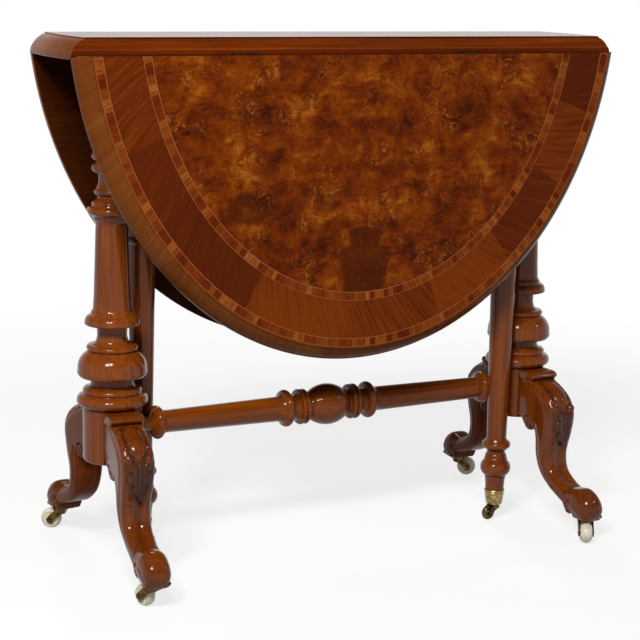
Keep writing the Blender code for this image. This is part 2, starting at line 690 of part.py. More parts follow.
def gate(name, side, heading):
    """Fixed rail, swinging fly rail with its leg, knuckle pin, and the leg's cup castor.

    The square head of the leg is cut back flush with the rail, so it folds against the centre rail.
    """
    towards = -side
    pivot_at = (0.0, side * RAIL_OFFSET)
    low = frame_top - RAIL_HEIGHT
    odd = range(1, FINGERS, 2)
    even = range(0, FINGERS, 2)
    knuckle_rail(name + "_fixed_rail", pivot_at, -towards, FIXED_RAIL_LENGTH, odd)
    fly_length = GATE_X - GATE_HEAD / 2 - CLEARANCE
    swung = knuckle_rail(name + "_fly_rail", pivot_at, towards, fly_length, even)
    rod(name + "_knuckle_pin", (*pivot_at, low), (*pivot_at, frame_top), KNUCKLE_PIN_RADIUS, 12, STEEL)
    x, y = towards * GATE_X, pivot_at[1]
    leg = turned(name + "_gate_leg", gate_outline(), GATE_STEPS, WALNUT)
    leg.location = (x, y, 0.0)
    half = GATE_HEAD / 2
    ys = sorted((side * (RAIL_OFFSET - RAIL_THICKNESS / 2), side * (RAIL_OFFSET + half)))
    head = box(name + "_gate_head", (x - half, ys[0], frame_top - GATE_HEAD_HEIGHT),
               (x + half, ys[1], frame_top))
    boolean(leg, head, "UNION")
    cup_low = gate_base + CLEARANCE
    bore = room_for(STEM_RADIUS, GATE_STEPS)
    cup = turned(name + "_gate_cup", [
        (bore, cup_low + CUP_FLOOR), (CUP_FOOT_RADIUS - CUP_WALL, cup_low + CUP_FLOOR),
        (CUP_RADIUS - CUP_WALL, cup_low + CUP_HEIGHT), (CUP_RADIUS, cup_low + CUP_HEIGHT),
        (CUP_RADIUS, cup_low + CUP_HEIGHT - CUP_WALL * 2), (CUP_FOOT_RADIUS, cup_low), (bore, cup_low)],
        GATE_STEPS, BRASS, closed=True)
    cup.location = (x, y, 0.0)
    castor = castor_parts(name + "_gate_castor", (x, y), GATE_WHEEL_RADIUS, GATE_WHEEL_WIDTH, GATE_TRAIL,
                          cup_low, BRASS)
    castor.rotation_euler.z = math.radians(heading)
    pivot = joint(name + "_gate_pivot", (*pivot_at, 0.0))
    attach(swung + [leg, head, cup, castor], pivot)


def centre_rail():
    """Long rail between the bearers; the fixed rails of the gates are screwed to its sides."""
    half_x = COLUMN_X - BEARER_WIDTH / 2 - CLEARANCE
    half_y = RAIL_OFFSET - RAIL_THICKNESS / 2 - CLEARANCE
    box("centre_rail", (-half_x, -half_y, frame_top - BEARER_HEIGHT), (half_x, half_y, frame_top), BEECH)


top()
for hand, column_x in (("left", -COLUMN_X), ("right", COLUMN_X)):
    end_support(hand, column_x)
stretcher()
centre_rail()
gate("front", -1, 190.0)
gate("rear", 1, 10.0)
leg_castor("left_front", -COLUMN_X, -1, 115.0)
leg_castor("right_rear", COLUMN_X, 1, 335.0)
leg_castor("right_front", COLUMN_X, -1, 240.0)
leg_castor("left_rear", -COLUMN_X, 1, 150.0)
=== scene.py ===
import math

import bpy
import numpy as np
from mathutils import Matrix, Vector
from mathutils.geometry import delaunay_2d_cdt


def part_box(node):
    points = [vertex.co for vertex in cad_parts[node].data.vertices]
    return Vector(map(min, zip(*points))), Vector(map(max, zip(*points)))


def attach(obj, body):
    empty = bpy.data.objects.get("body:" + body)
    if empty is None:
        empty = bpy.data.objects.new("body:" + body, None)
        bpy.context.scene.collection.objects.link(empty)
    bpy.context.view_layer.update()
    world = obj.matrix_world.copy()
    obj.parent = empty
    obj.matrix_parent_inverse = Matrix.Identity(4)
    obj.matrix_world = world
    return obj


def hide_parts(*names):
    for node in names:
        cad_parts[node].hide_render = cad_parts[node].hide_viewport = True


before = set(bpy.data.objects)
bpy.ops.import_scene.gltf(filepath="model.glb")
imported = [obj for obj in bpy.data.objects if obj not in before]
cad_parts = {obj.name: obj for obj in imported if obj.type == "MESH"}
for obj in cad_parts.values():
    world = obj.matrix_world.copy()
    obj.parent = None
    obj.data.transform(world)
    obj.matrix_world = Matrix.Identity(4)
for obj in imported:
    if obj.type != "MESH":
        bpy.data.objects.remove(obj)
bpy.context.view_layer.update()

# Studio
# A pale floor that keeps the table's soft shadow, a white surround, and small bright lamps,
# most of them left of the camera, that put clear highlights on the polished wood.
FLOOR_RADIUS = 40.0
SHADOW_RADIUS = (0.75, 1.9)  # the floor fades from lit white to plain white between these
FLOOR_GLOW = 0.76  # least share of plain white in the floor
FILL_LEVEL = 0.19  # light given by the floor and the surround
BACKDROP_FADE = (9.0, 32.0)  # degrees above the horizon where the white backdrop ends
LAMPS = (  # name, azimuth, elevation, distance, width, height, watts
    ("key", -47.0, 38.0, 3.0, 0.40, 0.56, 52.0),
    ("window", -33.0, 42.0, 3.0, 0.34, 0.56, 38.0),
    ("side", 56.0, 30.0, 3.2, 0.12, 0.26, 5.0),
    ("back", 165.0, 40.0, 3.2, 0.40, 0.60, 20.0))
AIM = Vector((0.0, 0.0, 0.42))
WHITE = (1.0, 1.0, 1.0, 1.0)

scene = bpy.context.scene
scene.view_settings.view_transform = "Standard"


def linear(code):
    """Linear red, green, blue and alpha of an sRGB hex colour."""
    levels = [int(code[k:k + 2], 16) / 255 for k in (1, 3, 5)]
    return (*[v / 12.92 if v <= 0.04045 else ((v + 0.055) / 1.055) ** 2.4 for v in levels], 1.0)


def plug(tree, node, inputs):
    """Fill a node's inputs; each takes a value, an output, or a node, which gives its first live output."""
    for name, value in inputs.items():
        if isinstance(value, bpy.types.Node):
            value = next(socket for socket in value.outputs if socket.enabled)
        if isinstance(value, bpy.types.NodeSocket):
            tree.links.new(value, node.inputs[name])
        else:
            node.inputs[name].default_value = value


def put(tree, kind, inputs=None, stops=None, **settings):
    """Add a node with its settings, its inputs and, on a colour ramp, its stops."""
    node = tree.nodes.new("ShaderNode" + kind)
    for name, value in settings.items():
        setattr(node, name, value)
    plug(tree, node, inputs or {})
    if stops:
        ramp = node.color_ramp
        while len(ramp.elements) < len(stops):
            ramp.elements.new(1.0)
        for element, (position, code) in zip(ramp.elements, stops):
            element.position = position
            element.color = linear(code)
    return node


def new_material(name):
    """A material with one Principled shader; returns it, its tree and the shader."""
    made = bpy.data.materials.new(name)
    made.use_nodes = True
    return made, made.node_tree, made.node_tree.nodes["Principled BSDF"]


def white_where_seen(tree):
    """Strength 1 for what the camera sees, straight or in a reflection, and the fill level as light."""
    ray = put(tree, "LightPath").outputs
    seen = ray["Is Camera Ray"]
    for kind in ("Is Glossy Ray", "Is Transmission Ray"):
        seen = put(tree, "Math", {0: seen, 1: ray[kind]}, operation="MAXIMUM")
    return put(tree, "MapRange", {"Value": seen, "To Min": FILL_LEVEL, "To Max": 1.0})


world = bpy.data.worlds.new("white_surround")
scene.world = world
world.use_nodes = True
tree = world.node_tree
tree.nodes.clear()
aim = put(tree, "SeparateXYZ", {0: put(tree, "TexCoord").outputs["Generated"]})
low, high = (math.sin(math.radians(angle)) for angle in BACKDROP_FADE)
wall = put(tree, "MapRange", {"Value": aim.outputs[2], "From Min": low, "From Max": high,
                              "To Min": 1.0, "To Max": 0.0}, interpolation_type="SMOOTHSTEP")
level = put(tree, "Mix", {0: wall, 2: FILL_LEVEL, 3: white_where_seen(tree)})
surround = put(tree, "Background", {"Color": WHITE, "Strength": level})
put(tree, "OutputWorld", {"Surface": surround})

# Matt white paint, which fades from its lit colour to plain white away from the table
floor_paint, tree, shader = new_material("matt_white_floor")
plug(tree, shader, {"Base Color": linear("#fbfaf8"), "Roughness": 0.9, "Specular IOR Level": 0.0})
reach = put(tree, "VectorMath", {0: put(tree, "TexCoord").outputs["Object"]}, operation="LENGTH")
fade = put(tree, "MapRange", {"Value": reach, "From Min": SHADOW_RADIUS[0], "From Max": SHADOW_RADIUS[1],
                              "To Min": FLOOR_GLOW}, interpolation_type="SMOOTHSTEP")
glow = put(tree, "Emission", {"Color": WHITE, "Strength": white_where_seen(tree)})
blend = put(tree, "MixShader", {0: fade, 1: shader, 2: glow})
plug(tree, tree.nodes["Material Output"], {"Surface": blend})
bpy.ops.object.select_all(action="DESELECT")
bpy.ops.mesh.primitive_circle_add(vertices=96, radius=FLOOR_RADIUS, fill_type="NGON")
floor = bpy.context.object
floor.name = "floor"
floor.data.materials.append(floor_paint)

for name, azimuth, elevation, distance, width, height, watts in LAMPS:
    lamp = bpy.data.lights.new(name, "AREA")
    lamp.shape = "RECTANGLE"
    lamp.size = width
    lamp.size_y = height
    lamp.energy = watts
    holder = bpy.data.objects.new(name + "_lamp", lamp)
    around, up = math.radians(azimuth), math.radians(elevation)
    away = Vector((math.sin(around) * math.cos(up), -math.cos(around) * math.cos(up), math.sin(up)))
    holder.location = AIM + away * distance
    holder.rotation_euler = away.to_track_quat("Z", "Y").to_euler()
    scene.collection.objects.link(holder)

# Camera
# A long lens stands well back, low and to the left of the table's front. It looks down a
# little and is tilted by about a degree.
VIEW_FROM = (-1.1420, -2.1619, 0.8235)
VIEW_TURN = (-27.578, 11.6, 1.197)  # degrees round, down and tilted
LENS = 98.7
SENSOR = 36.0
LENS_SHIFT = -0.0044
camera = bpy.data.objects.new("camera", bpy.data.cameras.new("camera"))
camera.data.lens = LENS
camera.data.sensor_width = SENSOR
camera.data.shift_y = LENS_SHIFT
yaw, pitch, roll = (math.radians(value) for value in VIEW_TURN)
camera.matrix_world = (Matrix.Translation(VIEW_FROM) @ Matrix.Rotation(yaw, 4, "Z")
                       @ Matrix.Rotation(math.pi / 2 - pitch, 4, "X") @ Matrix.Rotation(roll, 4, "Z"))
scene.collection.objects.link(camera)
scene.camera = camera

# Columns
# Two turned walnut columns stand on the drum blocks and carry the bearers. They were
# cut on a lathe: bell, rings and quirks at the foot, a plain shaft, a slim vase above.
COLUMN_X = 0.326
TURNED_STEPS = 96
ARC_STEPS = 8
SOFT_ANGLE = math.radians(32.0)
HAIRLINE = 0.0003  # gap between pieces that stand on one another


def polished_walnut(name, along, tint=None, with_painted_shade=False, gloss=0.23, rough=0.07):
    """French-polished walnut: streaks along the grain, fine pores, a clear thin gloss.

    The grain runs along one axis; streaks are 4 mm wide and 160 mm long, pores 0.6 by 6 mm, and
    the tone drifts over 45 by 250 mm. Carved pieces carry an attribute of painted shade, which
    darkens the hollows and grooves of the carving and the ground beside its forms nearly to black.
    """
    made, tree, shader = new_material(name)
    spot = put(tree, "TexCoord").outputs["Object"]
    patterns = []
    for width, length, settings in ((0.004, 0.16, {"Detail": 5.0, "Roughness": 0.6, "Distortion": 0.5}),
                                    (0.0006, 0.006, {"Detail": 2.0}), (0.045, 0.25, {"Detail": 2.0})):
        sizes = [1 / (length if axis == along else width) for axis in "XYZ"]
        place = put(tree, "Mapping", {"Vector": spot, "Scale": sizes})
        patterns.append(put(tree, "TexNoise", {"Vector": place, "Scale": 1.0, **settings}))
    streak, pore, drift = patterns
    tone = put(tree, "Mix", {0: 0.38, 2: streak, 3: drift})
    colour = put(tree, "ValToRGB", {"Fac": tone},
                 [(0.28, "#582506"), (0.46, "#733509"), (0.58, "#83400b"), (0.74, "#9a5212")])
    dots = put(tree, "MapRange", {"Value": pore, "From Min": 0.62, "From Max": 0.72, "To Max": 0.35})
    surface = put(tree, "Mix", {0: dots, 6: colour, 7: linear("#34130a")}, data_type="RGBA")
    if tint:
        surface = put(tree, "Mix", {0: 1.0, 6: surface, 7: linear(tint)}, data_type="RGBA",
                      blend_type="MULTIPLY")
    # Painted shade: where the carving is hollow, grooved or overhung, the colour goes nearly black.
    if with_painted_shade:
        depth = put(tree, "Attribute", attribute_name="painted_shade").outputs["Fac"]
        surface = put(tree, "Mix", {0: depth, 6: surface, 7: linear("#160703")}, data_type="RGBA")
    worn = put(tree, "MapRange", {"Value": drift, "To Min": rough, "To Max": rough + 0.13})
    relief = put(tree, "Bump", {"Strength": 0.12, "Distance": 0.0002, "Height": streak})
    plug(tree, shader, {"Base Color": surface, "Roughness": worn, "Specular IOR Level": gloss,
                        "Normal": relief})
    return made


def arc(start, end, bulge, steps=ARC_STEPS):
    """Points after start along a circular arc; a positive bulge swells to the left hand."""
    start, end = Vector(start), Vector(end)
    chord = end - start
    side = Vector((-chord.y, chord.x)).normalized()
    half = math.atan2(bulge, chord.length / 2)
    centre = (start + end) / 2 - side * (chord.length / 2) / math.tan(2 * half)
    return [tuple(centre + Matrix.Rotation(-4 * half * k / steps, 2) @ (start - centre))
            for k in range(1, steps + 1)]


def profile(*stations):
    """Turned outline from top to bottom: (radius, height), with a bulge for a curved stretch."""
    points = [stations[0]]
    for station in stations[1:]:
        points += arc(points[-1], station[:2], station[2]) if len(station) == 3 else [station]
    return points


def close_up(piece):
    """Merge the seams of the piece in edit mode, turn its faces outwards and leave it smooth."""
    bpy.ops.mesh.select_all(action="SELECT")
    bpy.ops.mesh.remove_doubles(threshold=0.00001)
    bpy.ops.mesh.normals_make_consistent(inside=False)
    bpy.ops.object.mode_set(mode="OBJECT")
    bpy.ops.object.shade_smooth_by_angle(angle=SOFT_ANGLE)
    return piece


def on_lathe(name, outline, centre, axis="Z", steps=TURNED_STEPS):
    """Draw a profile point by point beside the axis, then spin it round."""
    centre = Vector(centre)
    across, along = Vector((1, 0, 0)), Vector((0, 0, 1))
    if axis == "X":
        across, along = along, across
    spots = [centre + across * radius + along * height for radius, height in outline]
    bpy.ops.object.select_all(action="DESELECT")
    bpy.ops.mesh.primitive_plane_add(size=0.01)
    piece = bpy.context.object
    piece.name = name
    bpy.ops.object.mode_set(mode="EDIT")
    bpy.ops.mesh.merge(type="CENTER")
    bpy.ops.transform.translate(value=spots[0])
    for here, there in zip(spots, spots[1:]):
        bpy.ops.mesh.extrude_vertices_move(TRANSFORM_OT_translate={"value": there - here})
    bpy.ops.mesh.select_all(action="SELECT")
    bpy.ops.mesh.spin(steps=steps, angle=2 * math.pi, use_auto_merge=True, center=centre, axis=along)
    return close_up(piece)


def settle(piece, material, body, slot, *replaced):
    """Give a finished piece its material, unless it has its own, and its place on the frame."""
    if not piece.data.materials:
        piece.data.materials.append(material)
    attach(piece, body)
    if replaced:
        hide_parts(*replaced)


def copy_of(piece, name, move):
    """A copy with its own mesh, moved by a matrix."""
    twin = piece.copy()
    twin.data = piece.data.copy()
    twin.name = name
    twin.data.transform(move)
    scene.collection.objects.link(twin)
    return twin


WALNUT_UPRIGHT = polished_walnut("polished_walnut_upright", "Z")
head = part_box("left_bearer")[0].z - HAIRLINE
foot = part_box("left_block")[1].z + HAIRLINE
column = on_lathe("left_column_turning", profile(
    (0.0, head), (0.031, head), (0.031, head - 0.012, 0.003), (0.0275, head - 0.0125),
    (0.026, head - 0.0145), (0.018, head - 0.055, -0.004), (0.0215, head - 0.086, 0.003),
    (0.020, head - 0.0875), (0.0215, head - 0.089), (0.0215, head - 0.101, 0.0055),
    (0.0195, head - 0.1025), (0.0215, head - 0.104), (0.0215, head - 0.117, 0.0055),
    (0.018, head - 0.121, -0.001), (0.0192, head - 0.134, -0.001), (0.0208, head - 0.138),
    (0.0208, head - 0.146, 0.0026), (0.0185, head - 0.1475), (0.0190, head - 0.150),
    (0.0240, head - 0.1545), (0.0256, head - 0.159, 0.0012), (0.0262, head - 0.1605),
    (0.0290, head - 0.1615), (0.0278, head - 0.1725, 0.0044), (0.0262, head - 0.1740),
    (0.0252, head - 0.1775), (0.0240, head - 0.1795), (0.0216, head - 0.189, -0.0012),
    (0.0244, foot + 0.152), (0.0254, foot + 0.137), (0.0284, foot + 0.1285, -0.0010),
    (0.0288, foot + 0.1245), (0.0324, foot + 0.1236), (0.0366, foot + 0.1152, 0.0012),
    (0.0358, foot + 0.1118, 0.0008), (0.0345, foot + 0.1112), (0.0216, foot + 0.1100),
    (0.0205, foot + 0.1080), (0.0200, foot + 0.0965), (0.0212, foot + 0.0910),
    (0.0305, foot + 0.0842, -0.0022), (0.0316, foot + 0.0840), (0.0326, foot + 0.0768, 0.0024),
    (0.0320, foot + 0.0758), (0.0338, foot + 0.0746), (0.0464, foot + 0.0505, 0.0040),
    (0.0456, foot + 0.0430, 0.0010), (0.0440, foot + 0.0412), (0.0300, foot + 0.0402),
    (0.0290, foot + 0.0392), (0.0294, foot + 0.0345), (0.0350, foot + 0.0262, -0.0026),
    (0.0372, foot + 0.0254), (0.0382, foot + 0.0180, 0.0020), (0.0388, foot + 0.0172),
    (0.0400, foot + 0.0166), (0.0436, foot + 0.0014, 0.0060), (0.0410, foot + 0.0004), (0.0, foot)),
    (-COLUMN_X, 0.0, 0.0))
right_column = copy_of(column, "right_column_turning", Matrix.Translation((2 * COLUMN_X, 0.0, 0.0)))
settle(column, WALNUT_UPRIGHT, "frame", "polished_walnut", "left_column")
settle(right_column, WALNUT_UPRIGHT, "frame", "polished_walnut", "right_column")

# Drum blocks
# A short drum under each column, turned from the same walnut and planed flat on two
# sides, where the legs are dowelled on. Its lower edge is softened.
BLOCK_RADIUS = 0.040
BLOCK_FLAT = 0.033
BLOCK_ARRIS = 0.0006
BLOCK_SOFTENING = 0.004
LEG_SPLAY = math.radians(3.5)
HANDS = (("left", -COLUMN_X), ("right", COLUMN_X))


def facing(x, side):
    """Turn of a leg about its column: front or rear, splayed a little towards the table's end."""
    return (0.0 if side < 0 else math.pi) - math.copysign(LEG_SPLAY, x * side)


for hand, x in HANDS:
    low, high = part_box(hand + "_block")
    block = on_lathe(hand + "_drum", profile(
        (0.0, high.z), (BLOCK_RADIUS - BLOCK_ARRIS, high.z), (BLOCK_RADIUS, high.z - BLOCK_ARRIS),
        (BLOCK_RADIUS, low.z + BLOCK_SOFTENING), (BLOCK_RADIUS - BLOCK_SOFTENING, low.z, 0.0012),
        (0.0, low.z)), (x, 0.0, 0.0))
    bpy.ops.object.mode_set(mode="EDIT")
    for side in (-1, 1):
        outwards = Matrix.Rotation(facing(x, side), 3, "Z") @ Vector((0.0, -1.0, 0.0))
        bpy.ops.mesh.select_all(action="SELECT")
        bpy.ops.mesh.bisect(plane_co=Vector((x, 0, 0)) + outwards * BLOCK_FLAT, plane_no=outwards,
                            use_fill=True, clear_outer=True)
    settle(close_up(block), WALNUT_UPRIGHT, "frame", "polished_walnut", hand + "_block")

# Scroll legs
# Four cabriole legs sawn from walnut and carved: a rolled cap, a boss, curls and a hanging
# leaf on the knee, a channelled front, scrolls under the knee and at the heel, a bulb toe.
LEG_ROOT = BLOCK_FLAT + HAIRLINE
LEG_REACH = 0.202
LEG_WIDTH = 0.046
CORNER = True
LEG_KNOTS = (  # shares of the leg's box: out from the block, and up from the toe
    (0.00, 1.00, CORNER), (0.165, 1.00), (0.212, 0.972), (0.181, 0.938, CORNER), (0.310, 0.905),
    (0.440, 0.832), (0.507, 0.712), (0.488, 0.545), (0.450, 0.410), (0.480, 0.295), (0.594, 0.222),
    (0.704, 0.201), (0.836, 0.211), (0.953, 0.158), (1.00, 0.070), (0.962, -0.008),
    (0.928, 0.00, CORNER), (0.800, 0.00, CORNER), (0.780, 0.026, CORNER), (0.752, 0.009),
    (0.708, 0.014), (0.682, 0.050), (0.660, 0.080), (0.586, 0.098), (0.446, 0.148), (0.318, 0.238),
    (0.250, 0.366), (0.238, 0.498), (0.242, 0.590, CORNER), (0.205, 0.555), (0.140, 0.553),
    (0.085, 0.603), (0.055, 0.640, CORNER), (0.00, 0.640, CORNER))
LEG_WIDTHS = (  # share of the height, share of the full width there
    (-0.012, 0.70), (0.00, 0.76), (0.08, 0.83), (0.16, 0.82), (0.26, 0.86), (0.42, 0.90), (0.75, 1.00),
    (0.925, 0.96), (0.94, 1.04), (1.00, 1.04))
LEG_ROUNDING = (  # knot, radius of the edges there
    (0, 0.0032), (3, 0.0032), (4, 0.0060), (6, 0.0090), (8, 0.0105), (12, 0.0125), (14, 0.0125),
    (15, 0.0075), (15.6, 0.0040), (16, 0.0030), (22, 0.0030), (23.5, 0.0080), (27, 0.0105),
    (27.8, 0.0060), (28, 0.0030), (34, 0.0030))
ROUNDING_SHARE = 0.43
KNOT_STEPS = 14
LAYERS = 61
CAP_KNOT = 3.0  # the carving starts below the cap, at this knot
CARVED_LENGTH = 0.126
BOSS = (0.035, 0.031, 0.0126, 0.0058)  # distance down, half length, half width, rise
BEADS = (0.0150, 0.0026, 0.0105, 0.0016)  # distance from the middle, half width, spacing, rise
BEADS_END = (0.050, 0.058)
CURL = (0.0640, 0.0138, 0.0062)  # distance down, distance from the middle, radius
CURL_RISE = 0.0050
CURL_CUT = 0.0014
LEAF_TOP = 0.066
LEAF_TIP = 0.122
LEAF_HALF = 0.0175
LEAF_LOBES = 3
VEIN_SPACING = 0.0062
CHANNEL = 0.0085
CHANNEL_DEPTH = 0.0016
TOE_GROOVE = (10.9, 0.12, 0.0012)  # knot, half width in knots, depth
TOE_CROWN = 0.0030
SIDE_GRID = 0.0016
SIDE_FULLNESS = 0.0018
VOLUTES = (  # centre in the leg's box, radius in metres, number of turns
    (0.150, 0.612, 0.0115, 1.6), (0.733, 0.053, 0.0088, 1.3))
VOLUTE_CUT = 0.0018
TOE_SEAM = ((0.700, 0.190), (0.752, 0.100))
ENDS = (("front", -1), ("rear", 1))


def smooth_outline(knots, steps):
    """A closed outline through knots, with the knot number of each point; corners stay sharp."""
    count = len(knots)
    spots = [Vector(knot[:2]) for knot in knots]
    sharp = [len(knot) == 3 for knot in knots]
    points, marks = [], []
    for k in range(count):
        here, there = spots[k], spots[(k + 1) % count]
        leave = there - here if sharp[k] else (there - spots[k - 1]) / 2
        arrive = there - here if sharp[(k + 1) % count] else (spots[(k + 2) % count] - here) / 2
        for t in (j / steps for j in range(steps)):
            points.append((2 * t**3 - 3 * t**2 + 1) * here + (t**3 - 2 * t**2 + t) * leave
                          + (3 * t**2 - 2 * t**3) * there + (t**3 - t**2) * arrive)
            marks.append(k + t)
    return np.array(points), np.array(marks)


def ease(low, high, value):
    """Smooth step from 0 to 1."""
    t = np.clip((value - low) / (high - low), 0.0, 1.0)
    return t * t * (3 - 2 * t)


def bump(value, middle, width):
    """A smooth bump of height 1."""
    return np.exp(-((value - middle) / width) ** 2)


def carving(down, across):
    """Rise and shadow of the carved knee, from distances down from the cap and across from the middle."""
    side = np.abs(across)
    boss = np.sqrt(((down - BOSS[0]) / BOSS[1]) ** 2 + (across / BOSS[2]) ** 2)
    rise = BOSS[3] * np.sqrt(np.clip(1 - boss**2, 0.0, 1.0))
    shadow = 0.62 * bump(boss, 1.12, 0.13)
    above = 1 - ease(*BEADS_END, down)
    beads = bump(side, *BEADS[:2]) * np.sin(math.pi * down / BEADS[2]) ** 2
    rise += BEADS[3] * beads * above
    shadow = np.maximum(shadow, 0.5 * bump(side, 0.0125, 0.0013) * above)
    reach = np.hypot(down - CURL[0], side - CURL[1]) / CURL[2]
    turn = reach * 1.4 + np.arctan2(down - CURL[0], side - CURL[1]) / (2 * math.pi)
    groove = bump(turn - np.floor(turn), 0.5, 0.16) * (reach > 0.25)
    curl = np.sqrt(np.clip(1 - reach**2, 0.0, 1.0))
    rise += CURL_RISE * curl - CURL_CUT * groove * (reach < 1)
    shadow = np.where(reach < 1, 0.55 * groove, np.maximum(shadow, 0.6 * bump(reach, 1.18, 0.16)))
    share = np.clip((down - LEAF_TOP) / (LEAF_TIP - LEAF_TOP), 0.0, 1.0)
    lobe = np.abs(np.sin(math.pi * LEAF_LOBES * share**0.85)) ** 0.6
    half = LEAF_HALF * (1 - share**2.2) * (0.68 + 0.32 * lobe)
    inside = ease(0.0, 0.0016, half - side) * ease(LEAF_TOP, LEAF_TOP + 0.006, down)
    veins = np.cos(2 * math.pi * (down - 0.8 * side) / VEIN_SPACING)
    rise += inside * (0.0022 + 0.0012 * bump(side, 0.0, 0.0016) + 0.0018 * bump(side, half * 0.62, 0.0034)
                      + 0.00022 * veins)
    ground = ease(LEAF_TOP - 0.004, LEAF_TOP + 0.004, down) * (1 - inside)
    shadow = np.maximum(shadow * (1 - inside), ground * 0.6 * bump(side, half + 0.001, 0.0050))
    shadow = np.maximum(shadow, inside * (0.50 + 0.35 * bump(side, 0.0030, 0.0012) + 0.08 * (1 - veins)))
    return rise - 0.0012 * ground, np.clip(shadow, 0.0, 0.94)


def depth_through(outline, outward):
    """How thick a flat shape is, straight in from each point of its outline."""
    along = np.roll(outline, -1, axis=0) - outline
    to = outline[None] - outline[:, None]
    ray = -outward[:, None]
    lean = ray[..., 0] * along[:, 1] - ray[..., 1] * along[:, 0]
    lean = np.where(np.abs(lean) < 1e-12, 1e-12, lean)
    far = (to[..., 0] * along[:, 1] - to[..., 1] * along[:, 0]) / lean
    share = (to[..., 0] * ray[..., 1] - to[..., 1] * ray[..., 0]) / lean
    return np.where((share >= 0) & (share <= 1) & (far > 0.0005), far, 1.0).min(1)


def side_relief(spots, loop, box):
    """The side of a leg: a little full, with a volute on each scroll and a soft groove behind the toe."""
    seam = [box[0] + np.array(end) * box[1] for end in TOE_SEAM]
    along = seam[1] - seam[0]
    share = np.clip(((spots - seam[0]) @ along) / (along @ along), 0.0, 1.0)
    off = np.hypot(*(spots - seam[0] - share[:, None] * along).T)
    apart = np.sqrt(((spots[:, None] - loop) ** 2).sum(2)).min(1)
    height = SIDE_FULLNESS * (ease(0.0, 0.008, apart) - bump(off, 0.0, 0.0024))
    # Painted shade in the groove behind the toe and in the volutes' grooves.
    shadow = 0.35 * bump(off, 0.0, 0.0014)
    for across, up, radius, turns in VOLUTES:
        arm = spots - box[0] - np.array((across, up)) * box[1]
        reach = np.hypot(*arm.T) / radius
        turn = reach * turns + np.arctan2(arm[:, 1], arm[:, 0]) / (2 * math.pi)
        inside = 1 - ease(0.86, 1.0, reach)
        groove = bump(turn - np.floor(turn), 0.5, 0.17) * (reach > 0.2)
        height = height * (1 - inside) + inside * (0.0008 - VOLUTE_CUT * groove)
        shadow = np.maximum(shadow * (1 - inside), inside * groove * 0.85)
    return height, shadow


def carved_leg():
    """Mesh data of one leg on a column at the origin, pointing to the front, and the painted shade at each
    point.
    """
    low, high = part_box("left_front_leg")
    box = (np.array((LEG_ROOT, low.z)), np.array((LEG_REACH - LEG_ROOT, high.z - low.z)))
    shares, marks = smooth_outline(LEG_KNOTS, KNOT_STEPS)
    outline = box[0] + shares * box[1]
    count = len(outline)
    along = np.roll(outline, -1, axis=0) - np.roll(outline, 1, axis=0)
    along /= np.hypot(*along.T)[:, None]
    outward = np.stack((-along[:, 1], along[:, 0]), 1)
    steps = np.hypot(*(np.roll(outline, -1, axis=0) - outline).T)
    travelled = np.concatenate(([0.0], np.cumsum(steps)[:-1]))
    down = travelled - travelled[np.searchsorted(marks, CAP_KNOT)]
    front = ease(CAP_KNOT, CAP_KNOT + 0.3, marks) * (1 - ease(13.0, 14.5, marks))
    carved = front * ease(0.001, 0.006, down) * (1 - ease(CARVED_LENGTH - 0.003, CARVED_LENGTH, down))
    fluted = front * (1 - carved) * (1 - ease(9.7, 10.7, marks))
    half = LEG_WIDTH / 2 * np.interp(shares[:, 1], *zip(*LEG_WIDTHS))
    rounding = np.minimum(np.interp(marks, *zip(*LEG_ROUNDING)),
                          ROUNDING_SHARE * depth_through(outline, outward))
    rounding = np.mean([np.roll(rounding, k) for k in range(-4, 5)], axis=0)
    toe_line = front * bump(marks, *TOE_GROOVE[:2])
    crown = TOE_CROWN * ease(9.5, 11.5, marks) * (1 - ease(14.6, 15.0, marks))
    lowest = box[0][1] + np.minimum(shares[:, 1], 0.0) * box[1][1]
    verts, painted_shade, faces = [], [], []
    for layer in np.sin(np.linspace(-math.pi / 2, math.pi / 2, LAYERS)):
        x = layer * half
        past = np.maximum(np.abs(x) - (half - rounding), 0.0)
        drop = rounding - np.sqrt(np.maximum(rounding**2 - past**2, 0.0))
        rise, shadow = carving(down, x)
        cut_in = carved * ease(0.0, 0.0045, half - np.abs(x))
        hollow = fluted * np.cos(np.clip(np.abs(x) / CHANNEL, 0, 1) * math.pi / 2) ** 2
        offset = (cut_in * rise - CHANNEL_DEPTH * hollow - TOE_GROOVE[2] * toe_line - drop
                  - crown * layer**2)
        spots = outline + outward * offset[:, None]
        spots[:, 0] = np.maximum(spots[:, 0], box[0][0])
        spots[:, 1] = np.maximum(spots[:, 1], lowest)
        verts.append(np.column_stack((x, -spots[:, 0], spots[:, 1])))
        # Painted shade for this layer: the carving's own shadows, and shade in the front channel and the toe's
        # groove.
        painted_shade.append(cut_in * shadow + 0.30 * hollow + 0.3 * toe_line)
    for base in range(0, (LAYERS - 1) * count, count):
        for k in range(count):
            after = (k + 1) % count
            faces.append((base + k, base + after, base + count + after, base + count + k))
    points = np.concatenate(verts)
    painted_shades = np.concatenate(painted_shade)
    loop = np.column_stack((-verts[0][:, 1], verts[0][:, 2]))
    xs, zs = (np.arange(loop[:, k].min(), loop[:, k].max(), SIDE_GRID) for k in (0, 1))
    grid = np.array([(a, b) for a in xs for b in zs])
    fill = delaunay_2d_cdt([Vector(spot) for spot in np.concatenate((loop, grid))],
                           [], [list(range(count))], 1, 1e-7)
    flat = np.array(fill[0])
    height, shadow = side_relief(flat, loop, box)
    widths = LEG_WIDTH / 2 * np.interp((flat[:, 1] - box[0][1]) / box[1][1], *zip(*LEG_WIDTHS))
    for k, origin in enumerate(fill[3]):
        rim = [number for number in origin if number < count]
        if rim:
            widths[k] = half[rim[0]]
            height[k] = 0.0
    for hand in (-1, 1):
        start = len(points)
        sheet = np.column_stack((hand * (widths + height), -flat[:, 0], flat[:, 1]))
        points = np.concatenate((points, sheet))
        painted_shades = np.concatenate((painted_shades, shadow))
        faces += [tuple(start + k for k in face) for face in fill[2]]
    return points, faces, painted_shades


